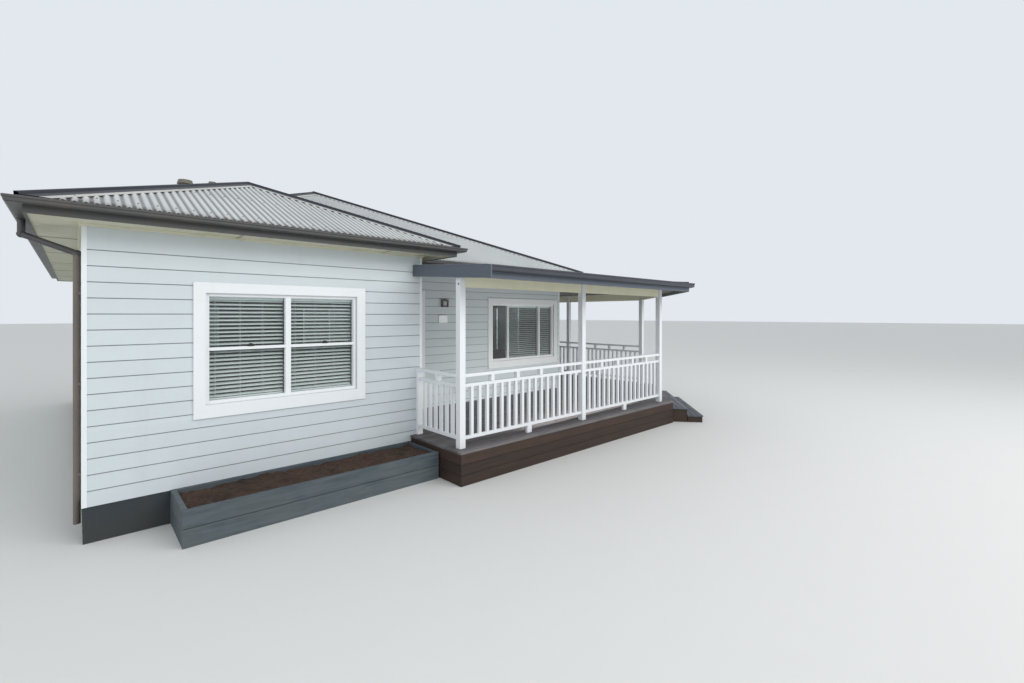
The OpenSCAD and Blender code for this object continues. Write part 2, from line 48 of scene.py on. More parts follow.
SHIFT = np.array([-5.3025, -4.469, 0.0])
WING_W, RECESS, MAIN_W, BACK_Y = 3.74, 1.58, 8.60, 10.23
BASE_Z, FLOOR_Z, WALL_Z = 0.35, 0.44, 3.07
CORNER_W, CORNER_T, TRIM_T = 0.03, 0.01, 0.03
RISE, EAVE, ROOF_Z = 0.43067, 0.36, 3.21
SILL_Z, WIN_H, SASH, SURROUND, APRON = 1.207, 1.233, 0.034, 0.115, 0.143
WIN_W, PORCH_WIN_W, WING_WIN_X, PORCH_WIN_X = 1.73, 1.93, 1.865, 7.425
SIDE_WIN_Y, BACK_WIN_X = (3.7425, 7.808), (2.236, 6.364)
DECK_L, DECK_F, DECK_R, DECK_B, DECK_CUT = 3.55, -1.25, 10.75, 5.54, 8.92
CUT_TURN = 40
X, Y, Z = np.eye(3)
rng = np.random.default_rng(11)


# Shapes

def tan(degrees):
    """Tangent of an angle in degrees."""
    return math.tan(math.radians(degrees))


def heading(degrees):
    """Level direction at an angle from X towards Y."""
    return np.array([math.cos(math.radians(degrees)), math.sin(math.radians(degrees)), 0])


def circle(sides):
    """Points round a circle of radius 1."""
    a = np.linspace(0, 2 * np.pi, sides + 1)[:-1]
    return np.stack([np.cos(a), np.sin(a)], 1)


def loft(rings, closed=False):
    """Solids from rings of points. rings[i, s, k] is the k-th point of solid i's s-th ring, and each ring
    is joined to the next. The first and last ring are capped, or joined if closed. Where the volume that
    the faces enclose comes out negative, their corners are reversed, so every solid faces outwards."""
    r = np.asarray(rings, float)
    n, s, k, _ = r.shape
    at = np.arange(n * s * k).reshape(n, s, k)
    side = np.roll(at, -1, axis=2)
    if closed:
        quads = np.stack([at, side, np.roll(side, -1, axis=1), np.roll(at, -1, axis=1)], -1)
    else:
        quads = np.stack([at[:, :-1], side[:, :-1], side[:, 1:], at[:, 1:]], -1)
    quads = quads.reshape(n, -1, 4)
    p = r.reshape(-1, 3)
    q = p[quads]
    vol = np.einsum("nmi,nmi->n", q[:, :, 0], np.cross(q[:, :, 1], q[:, :, 2]))
    vol += np.einsum("nmi,nmi->n", q[:, :, 0], np.cross(q[:, :, 2], q[:, :, 3]))
    polys = [quads]
    if not closed:
        caps = np.stack([at[:, 0, ::-1], at[:, -1]], 1)
        c = p[caps]
        for j in range(1, k - 1):
            vol += np.einsum("nmi,nmi->n", c[:, :, 0], np.cross(c[:, :, j], c[:, :, j + 1]))
        polys.append(caps)
    for a in polys:
        a[vol < 0] = a[vol < 0][:, :, ::-1]
    tone = np.repeat(rng.random(n), s * k)
    return p, [a.reshape(-1, a.shape[-1]) for a in polys], tone


def bars(start, end, u, v, prof):
    """Straight bars: each ring is the bar's start or end plus the profile's two numbers times u and v."""
    start, end, u, v = (np.atleast_2d(np.asarray(a, float)) for a in (start, end, u, v))
    prof = np.asarray(prof, float)
    prof = prof[None] if prof.ndim == 2 else prof
    n = max(len(start), len(end), len(u), len(v), len(prof))
    off = prof[..., :1] * u[:, None] + prof[..., 1:] * v[:, None]
    rings = np.stack([start[:, None] + off, end[:, None] + off], 1)
    return loft(np.broadcast_to(rings, (n,) + rings.shape[1:]))


def slab(front, back):
    """Closed plate between two grids of points: front, back and the strip round their edges."""
    r, c, _ = front.shape
    p = np.concatenate([front.reshape(-1, 3), back.reshape(-1, 3)])
    i = np.arange(r * c).reshape(r, c)
    f = np.stack([i[:-1, :-1], i[:-1, 1:], i[1:, 1:], i[1:, :-1]], -1).reshape(-1, 4)
    rim = np.concatenate([i[0, :-1], i[:-1, -1], i[-1, :0:-1], i[:0:-1, 0]])
    nxt = np.roll(rim, -1)
    strip = np.stack([nxt, rim, rim + r * c, nxt + r * c], -1)
    quads = np.concatenate([f, f[:, ::-1] + r * c, strip])
    q = p[quads]
    vol = np.sum(q[:, 0] * np.cross(q[:, 1], q[:, 2])) + np.sum(q[:, 0] * np.cross(q[:, 2], q[:, 3]))
    if vol < 0:
        quads = quads[:, ::-1]
    return p, [quads], np.full(len(p), rng.random())


def moved(part, angle, offset):
    """The same solids turned about Z by an angle and moved."""
    c, s = math.cos(angle), math.sin(angle)
    turn = np.array([[c, s, 0], [-s, c, 0], [0, 0, 1]])
    return part[0] @ turn + np.asarray(offset, float), part[1], part[2]


def piece(name, parts, slot, material, smooth=None, replaces=(), bevel=None, **marks):
    """One mesh object from solids. Corners lie in the row frame, so the object stays at the origin. Marks
    are numbers kept per corner for the materials."""
    parts = parts if isinstance(parts, list) else [parts]
    starts = np.cumsum([0] + [len(p[0]) for p in parts])
    verts = np.concatenate([p[0] for p in parts]) + SHIFT
    tone = np.concatenate([p[2] for p in parts])
    polys = [q + s for p, s in zip(parts, starts) for q in p[1]]
    corners = np.concatenate([q.ravel() for q in polys]).astype(np.int32)
    counts = np.concatenate([np.full(len(q), q.shape[1]) for q in polys])
    mesh = bpy.data.meshes.new(name)
    mesh.vertices.add(len(verts))
    mesh.vertices.foreach_set("co", verts.astype(np.float32).ravel())
    mesh.loops.add(len(corners))
    mesh.loops.foreach_set("vertex_index", corners)
    mesh.polygons.add(len(counts))
    mesh.polygons.foreach_set("loop_start", (np.cumsum(counts) - counts).astype(np.int32))
    mesh.update(calc_edges=True)
    mesh.validate()
    for key, data in {"tone": tone, **marks}.items():
        mesh.attributes.new(key, "FLOAT", "POINT").data.foreach_set("value", data.astype(np.float32))
    if smooth:
        mesh.shade_smooth()
        mesh.set_sharp_from_angle(angle=math.radians(smooth))
    else:
        mesh.shade_flat()
    mesh.materials.append(material)
    obj = bpy.data.objects.new(name, mesh)
    bpy.context.scene.collection.objects.link(obj)
    if bevel:
        soften(obj, bevel)
    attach(obj, "root")
    if replaces:
        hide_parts(*replaces)


def soften(obj, width):
    """Rounds the sharp edges of a piece by a width."""
    m = obj.modifiers.new("soften", "BEVEL")
    m.width, m.segments, m.limit_method, m.angle_limit = width, 2, "ANGLE", math.radians(40)


def plank(w, h, c):
    """Rectangle w by h, centred, with its four corners cut by c."""
    a, b = w / 2, h / 2
    return np.array([[-a + c, -b], [a - c, -b], [a, -b + c], [a, b - c], [a - c, b], [-a + c, b],
                     [-a, b - c], [-a, -b + c]])


def box_bar(x0, x1, y0, y1, z0, z1, c=0.003):
    """Bar along X between two corners, with its long edges cut by c."""
    mid = (y0 + y1) / 2, (z0 + z1) / 2
    return bars([x0, mid[0], mid[1]], [x1, mid[0], mid[1]], Y, Z, plank(y1 - y0, z1 - z0, c))


def post_bar(x0, x1, y0, y1, z0, z1, c=0.003):
    """Upright bar between two corners, with its upright edges cut by c."""
    mid = (x0 + x1) / 2, (y0 + y1) / 2
    return bars([mid[0], mid[1], z0], [mid[0], mid[1], z1], X, Y, plank(x1 - x0, y1 - y0, c))


def around(d):
    """Outline of the house at a distance outside its wall faces."""
    return np.array([[-d, -d], [WING_W + d, -d], [WING_W + d, RECESS - d], [MAIN_W + d, RECESS - d],
                     [MAIN_W + d, BACK_Y + d], [-d, BACK_Y + d]])


def swept(path, prof, closed=False):
    """A profile of (distance outwards, height) swept along path(distance), a plan outline whose corners
    mitre."""
    ring = np.stack([path(d) for d, _ in prof], 1)
    high = np.broadcast_to(np.array([z for _, z in prof])[None, :, None], ring.shape[:2] + (1,))
    return loft(np.concatenate([ring, high], -1)[None], closed)


def framed(x0, x1, z0, z1, prof):
    """A profile of (distance inwards, y) carried round an upright rectangle, its corners mitred."""
    prof = np.asarray(prof, float)
    d, y = prof[:, 0], prof[:, 1]
    ring = np.stack([np.stack([x0 + d, y, z0 + d], -1), np.stack([x1 - d, y, z0 + d], -1),
                     np.stack([x1 - d, y, z1 - d], -1), np.stack([x0 + d, y, z1 - d], -1)])
    return loft(ring[None], closed=True)


def turned(centre, axis, u, v, stations):
    """Solid of revolution: each station is (distance along the axis, radius)."""
    disc = circle(12)
    rings = [np.array(centre) + d * axis + r * (disc[:, :1] * u + disc[:, 1:] * v) for d, r in stations]
    return loft(np.array(rings)[None])


# Materials

def rgb(*c):
    """Linear colour of an sRGB one given from 0 to 255."""
    s = np.array(c) / 255
    return (*np.where(s <= 0.04045, s / 12.92, ((s + 0.055) / 1.055) ** 2.4), 1.0)


class Tree:
    """Short names for the nodes of one shader tree."""

    def __init__(self, tree):
        self.t = tree

    def node(self, kind, **props):
        """New node with some of its properties set."""
        n = self.t.nodes.new(kind)
        for key, value in props.items():
            setattr(n, key, value)
        return n

    def put(self, socket, value):
        """Links another node's output to a socket, or sets the socket to a plain value."""
        if isinstance(value, bpy.types.NodeSocket):
            self.t.links.new(value, socket)
        else:
            socket.default_value = value

    def math(self, op, a, b, clamp=False):
        """Number worked out from two others."""
        n = self.node("ShaderNodeMath", operation=op, use_clamp=clamp)
        self.put(n.inputs[0], a)
        self.put(n.inputs[1], b)
        return n.outputs[0]

    def add(self, a, b, clamp=False):
        """Sum of two numbers."""
        return self.math("ADD", a, b, clamp)

    def times(self, a, b):
        """Product of two numbers."""
        return self.math("MULTIPLY", a, b)

    def mix(self, fac, a, b, blend="MIX"):
        """Colour a carried towards colour b by a share."""
        n = self.node("ShaderNodeMix", data_type="RGBA", blend_type=blend)
        for i, v in ((0, fac), (6, a), (7, b)):
            self.put(n.inputs[i], v)
        return n.outputs[2]

    def grey(self, value):
        """Colour whose three parts are one number."""
        n = self.node("ShaderNodeCombineColor")
        for i in range(3):
            self.put(n.inputs[i], value)
        return n.outputs[0]

    def place(self):
        """Place of the shaded point in the piece's own frame."""
        return self.node("ShaderNodeTexCoord").outputs["Object"]

    def height(self, vector):
        """Third part of a vector."""
        n = self.node("ShaderNodeSeparateXYZ")
        self.put(n.inputs[0], vector)
        return n.outputs[2]

    def mark(self, name):
        """Number that a piece keeps at its corners under a name."""
        return self.node("ShaderNodeAttribute", attribute_name=name).outputs["Fac"]

    def scaled(self, vector, by):
        """Vector times another, part by part."""
        n = self.node("ShaderNodeVectorMath", operation="MULTIPLY")
        self.put(n.inputs[0], vector)
        self.put(n.inputs[1], by)
        return n.outputs[0]

    def noise(self, vector, scale, detail=3.0, rough=0.55, warp=0.0):
        """Smooth noise from 0 to 1."""
        n = self.node("ShaderNodeTexNoise")
        for key, v in (("Vector", vector), ("Scale", scale), ("Detail", detail), ("Roughness", rough),
                       ("Distortion", warp)):
            self.put(n.inputs[key], v)
        return n.outputs[0]

    def span(self, value, a, b):
        """Carries a..b to 0..1 with smooth ends."""
        n = self.node("ShaderNodeMapRange", interpolation_type="SMOOTHSTEP")
        for i, v in enumerate((value, a, b)):
            self.put(n.inputs[i], v)
        return n.outputs[0]


GROUP_OUTPUTS = [("Color", "c"), ("Roughness", "f"), ("Height", "f")]


def group(name, ins):
    """Empty shader node group with named sockets: its tree, its inputs and its outputs."""
    g = bpy.data.node_groups.new(name, "ShaderNodeTree")
    kinds = {"c": "NodeSocketColor", "f": "NodeSocketFloat", "v": "NodeSocketVector"}
    for sockets, way in ((ins, "INPUT"), (GROUP_OUTPUTS, "OUTPUT")):
        for key, kind in sockets:
            g.interface.new_socket(name=key, in_out=way, socket_type=kinds[kind])
    t = Tree(g)
    return g, t, t.node("NodeGroupInput").outputs, t.node("NodeGroupOutput").inputs


def paint_group():
    """Painted surface: tone per board, painted shade in the grooves between boards, cloudy fading, dust
    streaks running down, and splashes near the ground."""
    g, t, i, o = group("weathered_paint", [("Base", "c"), ("Dirt", "c"), ("Dust", "f"), ("Streaks", "f"),
                                           ("Splash", "f"), ("Tone", "f"), ("Gloss", "f")])
    p = t.place()
    cloud = t.noise(p, 1.1, 5.0)
    fine = t.noise(p, 38.0, 4.0, 0.6)
    run = t.noise(t.scaled(p, (9.0, 9.0, 0.55)), 1.0, 5.0, 0.6)
    level = t.math("SUBTRACT", t.add(t.mark("tone"), t.times(cloud, 1.6)), 1.3)
    level = t.add(t.times(level, i["Tone"]), 1.0)
    # The grooves between weatherboards are darkened: painted shade.
    level = t.times(level, t.math("SUBTRACT", 1.0, t.times(t.mark("seam"), 0.58)))
    colour = t.mix(1.0, i["Base"], t.grey(level), "MULTIPLY")
    streak = t.times(t.span(run, 0.52, 0.8), i["Streaks"])
    dust = t.times(t.span(t.noise(p, 3.4, 6.0, 0.65), 0.42, 0.75), i["Dust"])
    low = t.times(t.span(t.add(t.height(p), t.times(fine, 0.25)), 0.62, 0.1), i["Splash"])
    dirt = t.add(t.add(streak, dust), low, clamp=True)
    t.put(o["Color"], t.mix(dirt, colour, i["Dirt"]))
    t.put(o["Roughness"], t.add(t.add(i["Gloss"], t.times(dirt, 0.3)), t.times(fine, 0.1), clamp=True))
    t.put(o["Height"], t.add(t.times(fine, 0.5), t.times(cloud, 0.3)))
    return g


def wood_group():
    """Stained timber: grain is noise drawn out along the boards by Stretch, with darker pores and worn
    patches."""
    g, t, i, o = group("stained_wood", [("Base", "c"), ("Dark", "c"), ("Worn", "c"), ("Wear", "f"),
                                        ("Stretch", "v"), ("Gloss", "f")])
    p = t.place()
    tone = t.mark("tone")
    shift = t.node("ShaderNodeCombineXYZ")
    for n in range(3):
        t.put(shift.inputs[n], t.times(tone, 17.0))
    drawn = t.node("ShaderNodeVectorMath", operation="ADD")
    t.put(drawn.inputs[0], t.scaled(p, i["Stretch"]))
    t.put(drawn.inputs[1], shift.outputs[0])
    grain = t.noise(drawn.outputs[0], 1.0, 6.0, 0.62, 0.6)
    pores = t.noise(drawn.outputs[0], 5.0, 3.0, 0.5)
    patch = t.noise(p, 2.3, 5.0, 0.6)
    colour = t.mix(t.span(grain, 0.3, 0.68), i["Dark"], i["Base"])
    colour = t.mix(t.times(t.span(pores, 0.6, 0.75), 0.45), colour, i["Dark"])
    worn = t.span(t.add(patch, t.times(tone, 0.25)), 0.5, 0.8)
    colour = t.mix(t.times(worn, i["Wear"]), colour, i["Worn"])
    level = t.add(t.times(tone, 0.3), 0.85)
    t.put(o["Color"], t.mix(1.0, colour, t.grey(level), "MULTIPLY"))
    t.put(o["Roughness"], t.add(i["Gloss"], t.times(patch, 0.25), clamp=True))
    t.put(o["Height"], t.add(t.times(grain, 0.7), t.times(pores, 0.3)))
    return g


def metal_group():
    """Coated metal sheet: stains, painted shade with dirt in the pans, and rust with painted shade, mostly
    in the pans, that fades above the lower edge."""
    g, t, i, o = group("coated_metal", [("Base", "c"), ("Stain", "c"), ("Rust", "c"), ("Pan", "c"),
                                        ("Stains", "f"), ("Pan dirt", "f"), ("Edge rust", "f"),
                                        ("Gloss", "f")])
    p = t.place()
    spots = t.noise(p, 14.0, 6.0, 0.7)
    cloud = t.noise(p, 0.9, 5.0, 0.6)
    fine = t.noise(p, 60.0, 3.0)
    colour = t.mix(t.times(t.span(cloud, 0.4, 0.7), i["Stains"]), i["Base"], i["Stain"])
    # The troughs turn towards the pan colour: painted shade between the crests, with dirt in the troughs.
    deep = t.span(t.mark("pan"), 0.3, 0.95)
    colour = t.mix(t.times(deep, i["Pan dirt"]), colour, i["Pan"])
    # Near the lower edge the rust colour comes in, most in the troughs: rust with painted shade at the
    # sheets' ends.
    edge = t.span(t.math("SUBTRACT", t.mark("low"), t.times(spots, 0.22)), 0.06, -0.12)
    rust = t.times(t.times(edge, i["Edge rust"]), t.add(t.times(deep, 0.7), 0.3))
    t.put(o["Color"], t.mix(rust, colour, i["Rust"]))
    t.put(o["Roughness"], t.add(t.add(i["Gloss"], t.times(rust, 0.4)), t.times(spots, 0.15), clamp=True))
    t.put(o["Height"], t.add(t.times(fine, 0.2), t.times(rust, 0.5)))
    return g


PAINT_GROUP, WOOD_GROUP, METAL_GROUP = paint_group(), wood_group(), metal_group()


def finish_of(name, g, bump=0.15, reach=0.002, metallic=0.0, **sockets):
    """Material whose surface takes its colour, roughness and bump from one of the shared groups."""
    m = bpy.data.materials.new(name)
    m.use_nodes = True
    t = Tree(m.node_tree)
    bsdf = m.node_tree.nodes["Principled BSDF"]
    n = t.node("ShaderNodeGroup", node_tree=g)
    for key, v in sockets.items():
        n.inputs[key.replace("_", " ")].default_value = v
    b = t.node("ShaderNodeBump")
    b.inputs["Strength"].default_value = bump
    b.inputs["Distance"].default_value = reach
    t.put(b.inputs["Height"], n.outputs["Height"])
    t.put(bsdf.inputs["Base Color"], n.outputs["Color"])
    t.put(bsdf.inputs["Roughness"], n.outputs["Roughness"])
    t.put(bsdf.inputs["Normal"], b.outputs["Normal"])
    bsdf.inputs["Metallic"].default_value = metallic
    bsdf.inputs["IOR"].default_value = 1.5
    m.diffuse_color = sockets["Base"]
    return m


def paint(name, base, dirt, dust, streaks=0.0, splash=0.0, tone=0.04, gloss=0.42, **more):
    """Painted finish. Dust, streaks and splash say how much of the dirt's colour shows."""
    return finish_of(name, PAINT_GROUP, Base=rgb(*base), Dirt=rgb(*dirt), Dust=dust, Streaks=streaks,
                     Splash=splash, Tone=tone, Gloss=gloss, **more)


def wood(name, base, dark, worn, wear, stretch, gloss, **more):
    """Stained finish. The grain runs along the direction whose stretch is the smallest."""
    return finish_of(name, WOOD_GROUP, Base=rgb(*base), Dark=rgb(*dark), Worn=rgb(*worn), Wear=wear,
                     Stretch=stretch, Gloss=gloss, **more)


def metal(name, base, stain, stains, gloss, rust=(120, 72, 42), pan=(110, 102, 96), pans=0.0, edge=0.0,
          **more):
    """Metal finish. Stains, pans and edge say how much of the stain, pan and rust colours show. On the roof
    sheets the pan colour is painted shade with dirt, and the rust colour is rust with painted shade.
    """
    return finish_of(name, METAL_GROUP, Base=rgb(*base), Stain=rgb(*stain), Rust=rgb(*rust), Pan=rgb(*pan),
                     Stains=stains, Pan_dirt=pans, Edge_rust=edge, Gloss=gloss, **more)


CLAD = paint("cladding_paint", (203, 211, 215), (158, 156, 148), 0.05, streaks=0.06, splash=0.15, tone=0.03,
             gloss=0.62)
TRIM = paint("trim_paint", (230, 233, 236), (165, 160, 148), 0.04, streaks=0.05, splash=0.15, tone=0.015,
             gloss=0.5)
FRAME = paint("frame_paint", (232, 235, 237), (160, 155, 145), 0.04, streaks=0.04, tone=0.01, gloss=0.35)
DARK = paint("dark_paint", (72, 72, 72), (104, 92, 80), 0.2, streaks=0.22, gloss=0.35)
PORCH_GUTTER = paint("verandah_gutter_paint", (58, 62, 70), (86, 84, 82), 0.12, streaks=0.15, gloss=0.35)
FASCIA = paint("verandah_fascia_paint", (86, 94, 106), (112, 108, 102), 0.1, streaks=0.12, gloss=0.4)
BASE = paint("base_paint", (40, 51, 57), (74, 68, 60), 0.1, streaks=0.15, splash=0.35, gloss=0.65)
SOFFIT = paint("soffit_paint", (208, 205, 182), (150, 138, 112), 0.3, gloss=0.6)
JOINT = paint("soffit_joint_paint", (158, 150, 128), (110, 98, 78), 0.3)
LINING = paint("verandah_lining", (112, 112, 106), (92, 90, 86), 0.3, gloss=0.55)
BEAM = paint("beam_paint", (242, 239, 212), (176, 168, 132), 0.15, streaks=0.08, gloss=0.5)
DOOR = paint("door_paint", (222, 226, 229), (150, 145, 135), 0.05, streaks=0.05, tone=0.02, gloss=0.35)
SLAT = paint("slat_paint", (214, 222, 220), (160, 160, 150), 0.12, tone=0.06, gloss=0.45)
PLATE = paint("plate_enamel", (250, 252, 254), (150, 140, 120), 0.02, streaks=0.03, gloss=0.25)
LAMP = paint("lamp_bronze", (104, 96, 88), (128, 120, 108), 0.25, streaks=0.1, gloss=0.4)
DIFFUSER = paint("lamp_diffuser", (176, 184, 190), (150, 150, 146), 0.2, gloss=0.3)
LATCH = paint("latch_metal", (24, 24, 26), (80, 76, 70), 0.2, gloss=0.4)
VENT = paint("vent_paint", (112, 106, 92), (104, 92, 74), 0.35, streaks=0.4, gloss=0.5)
# Dark foam of the closure strips, which also stands for the shadow under the flanges: painted shadow.
INFILL_AND_SHADOW = paint("infill_foam_and_shadow", (46, 42, 44), (90, 78, 66), 0.3, gloss=0.8)
CORE = paint("roof_structure", (92, 86, 78), (70, 62, 54), 0.3, streaks=0.2, gloss=0.7)
PLASTER = paint("wall_lining", (112, 112, 108), (96, 94, 88), 0.2, gloss=0.7)
SOIL = paint("soil", (62, 44, 33), (32, 23, 18), 0.85, tone=0.25, gloss=0.88, bump=1.0, reach=0.012)
BOLT = metal("bolt_zinc", (150, 153, 156), (110, 108, 102), 0.6, 0.4, metallic=0.7)
# On the roof sheets the pan colour paints shade in the troughs, with dirt, and the dark rust colour paints
# shade at the sheets' lower ends, with rust.
SHEET = metal("roof_sheet", (206, 210, 209), (182, 186, 186), 0.5, 0.32, rust=(60, 40, 34),
              pan=(110, 105, 103), pans=0.85, edge=1.0, metallic=0.3)
CAP = metal("roof_capping", (24, 27, 38), (40, 44, 55), 0.35, 0.36)
FLANGE = metal("capping_flange", (206, 204, 198), (150, 146, 140), 0.5, 0.3, metallic=0.35)
SCREW = metal("screw_heads", (136, 138, 138), (92, 84, 76), 0.7, 0.45, metallic=0.4)
TRAY = metal("valley_metal", (112, 116, 120), (86, 84, 80), 0.6, 0.4, metallic=0.4)
SKIRT = wood("skirt_stain", (58, 40, 30), (41, 30, 24), (72, 51, 36), 0.3, (1.6, 1.6, 26), 0.55, bump=0.25)
DECK = wood("deck_stain", (98, 94, 96), (74, 69, 70), (120, 115, 114), 0.4, (2, 30, 30), 0.5, bump=0.3)
TREAD = wood("tread_stain", (96, 102, 114), (66, 68, 74), (118, 120, 124), 0.4, (6, 6, 30), 0.55, bump=0.3)
SLEEPER = wood("planter_stain", (78, 88, 95), (56, 68, 74), (92, 96, 94), 0.35, (2.2, 14, 22), 0.6, bump=0.4)
FLOORING = wood("floor_boards", (110, 92, 72), (82, 64, 48), (118, 102, 84), 0.2, (1.5, 14, 14), 0.45)


def pipe_material():
    """Paint of the downpipes: brown, with painted shade above the bend under the eaves that turns them dark
    grey.
    """
    m = paint("pipe_paint", (122, 110, 100), (92, 88, 86), 0.4, streaks=0.5, splash=0.3, gloss=0.4)
    t = Tree(m.node_tree)
    brown = m.node_tree.nodes["Group"].outputs["Color"]
    # Above the bend the colour goes dark grey: painted shade under the eaves.
    eave_shade = t.span(t.height(t.place()), 2.76, 2.82)
    t.put(m.node_tree.nodes["Principled BSDF"].inputs["Base Color"], t.mix(eave_shade, brown, rgb(74, 72, 74)))
    return m


def glass_material():
    """Clear glass whose faint film of dust comes from the paint group. Shadow and diffuse rays pass
    straight through."""
    m = finish_of("window_glass", PAINT_GROUP, bump=0.02, Base=rgb(236, 242, 242), Dirt=rgb(200, 200, 192),
                  Dust=0.1, Streaks=0.1, Splash=0.0, Tone=0.0, Gloss=-0.04)
    t = Tree(m.node_tree)
    bsdf = m.node_tree.nodes["Principled BSDF"]
    bsdf.inputs["Transmission Weight"].default_value = 1.0
    rays = t.node("ShaderNodeLightPath").outputs
    mix = t.node("ShaderNodeMixShader")
    t.put(mix.inputs[0], t.math("MAXIMUM", rays["Is Shadow Ray"], rays["Is Diffuse Ray"]))
    t.put(mix.inputs[1], bsdf.outputs[0])
    t.put(mix.inputs[2], t.node("ShaderNodeBsdfTransparent").outputs[0])
    t.put(m.node_tree.nodes["Material Output"].inputs["Surface"], mix.outputs[0])
    return m


GLASS, PIPE = glass_material(), pipe_material()

NODE_LOOKS = [
    (BASE, ["base_wall"]),
    (FLOORING, ["floor_slab"]),
    (PLASTER, ["wall_wing_front", "wall_left", "wall_recess", "wall_right", "wall_back"]),
    (TRIM, ["corner_boards", "wing_window_surround", "verandah_window_surround", "other_window_surrounds",
            "door_frame", "verandah_posts", "balustrade_left", "balustrade_front_left",
            "balustrade_front_right", "balustrade_side"]),
    (FRAME, ["wing_window_frame", "verandah_window_frame", "other_window_frames"]),
    (GLASS, ["window_glass"]),
    (CORE, ["roof_left", "roof_wing_front", "roof_wing_right", "roof_main_front", "roof_main_right",
            "roof_main_back"]),
    (DARK, ["fascia"]),
    (SOFFIT, ["soffit"]),
    (PIPE, ["downpipes"]),
    (VENT, ["roof_vents"]),
    (LINING, ["verandah_roof"]),
    (FASCIA, ["verandah_fascia"]),
    (BEAM, ["verandah_beams"]),
]
for look, nodes in NODE_LOOKS:
    for node in nodes:
        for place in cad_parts[node].material_slots:
            place.material = look


# Weatherboards

COURSE, COURSES, BUTT, TIP, GROOVE = 0.155, 17, 0.0095, 0.0065, 0.009
BACK, THIN, ROUND_OFF, STUB, FAR = 0.002, 0.0002, 0.0015, 0.002, 20.0
# Per point of a board's section, 1 where the paint darkens the groove and the back: painted shade.
GROOVE_SHADE = np.array([1, 0, 0, 0, 1, 1, 1])


def clad(name, origin, along, out, span, holes):
    """Weatherboards of one wall. A board's thickness falls evenly from BUTT at its lower edge to TIP, a
    groove parts it from the next board, and boards stop at the holes, (x0, x1, z0, z1) along the wall."""
    z_cuts = {round(z, 4) for z in np.append(BASE_Z + COURSE * np.arange(COURSES), WALL_Z)}
    z_cuts |= {round(z, 4) for h in holes for z in h[2:] if BASE_Z < z < WALL_Z}
    z_cuts = sorted(z_cuts)
    rings = []
    for z0, z1 in zip(z_cuts, z_cuts[1:]):
        mid = (z0 + z1) / 2
        foot = BASE_Z + COURSE * min(math.floor((mid - BASE_Z) / COURSE), COURSES - 1)
        t0, t1 = (BUTT - (BUTT - TIP) * min((z - foot) / COURSE, 1) for z in (z0, z1))
        spans = [span]
        for x0, x1, low, high in holes:
            if low < mid < high:
                spans = [s for a, b in spans for s in ((a, min(b, x0)), (max(a, x1), b))]
                spans = [(a, b) for a, b in spans if b - a > STUB]
        soft = ROUND_OFF if abs(z0 - foot) < 1e-3 else 0.0
        gap, floor_t = (GROOVE, 0.0005) if abs(z1 - foot - COURSE) < 1e-3 else (THIN, t1 - THIN)
        prof = np.array([[-BACK, z0], [t0 - soft, z0], [t0, z0 + soft], [t1, z1 - gap],
                         [floor_t, z1 - gap + 0.0001], [floor_t, z1], [-BACK, z1]])
        off = prof[:, :1] * out + prof[:, 1:] * Z
        rings += [[origin + a * along + off, origin + b * along + off] for a, b in spans]
    # The groove mark makes the paint darken each groove: painted shade.
    piece(name, loft(rings), "cladding", CLAD, seam=np.tile(GROOVE_SHADE, 2 * len(rings)))


def hole(centre, width=WIN_W):
    """Space of one window with its surround, as clad takes it."""
    half = width / 2 + SURROUND
    return centre - half, centre + half, SILL_Z - APRON, SILL_Z + WIN_H + SURROUND


BEHIND_DECK = (-FAR, FAR, BASE_Z, FLOOR_Z)
DOORWAY = (0.03, 1.05, FLOOR_Z, 2.66)
clad("boards_wing_front", np.zeros(3), X, -Y, (CORNER_W, WING_W - CORNER_W), [hole(WING_WIN_X)])
clad("boards_left", np.zeros(3), Y, -X, (CORNER_W, BACK_Y - CORNER_W), [hole(y) for y in SIDE_WIN_Y])
clad("boards_wing_right", WING_W * X, Y, X, (CORNER_W, RECESS), [BEHIND_DECK])
clad("boards_main_front", WING_W * X + RECESS * Y, X, -Y, (0.0, MAIN_W - WING_W - CORNER_W),
     [BEHIND_DECK, DOORWAY, hole(PORCH_WIN_X - WING_W, PORCH_WIN_W)])
clad("boards_right", MAIN_W * X + RECESS * Y, Y, X, (CORNER_W, BACK_Y - RECESS - CORNER_W),
     [(-FAR, DECK_B - RECESS, BASE_Z, FLOOR_Z)] + [hole(y - RECESS) for y in SIDE_WIN_Y])
clad("boards_back", MAIN_W * X + BACK_Y * Y, -X, Y, (CORNER_W, MAIN_W - CORNER_W),
     [hole(MAIN_W - x) for x in BACK_WIN_X[::-1]])


# Roof sheets

PITCH, WAVE, LIFT, GAUGE, HANG, WAVE_POINTS = 0.076, 0.0085, 0.0125, 0.0015, 0.05, 8
FIRST_ROW, ROW_GAP, SCREW_LOW, SCREW_HIGH, SLIVER = 0.12, 0.9, 0.05, 0.16, 0.004
screw_at = []


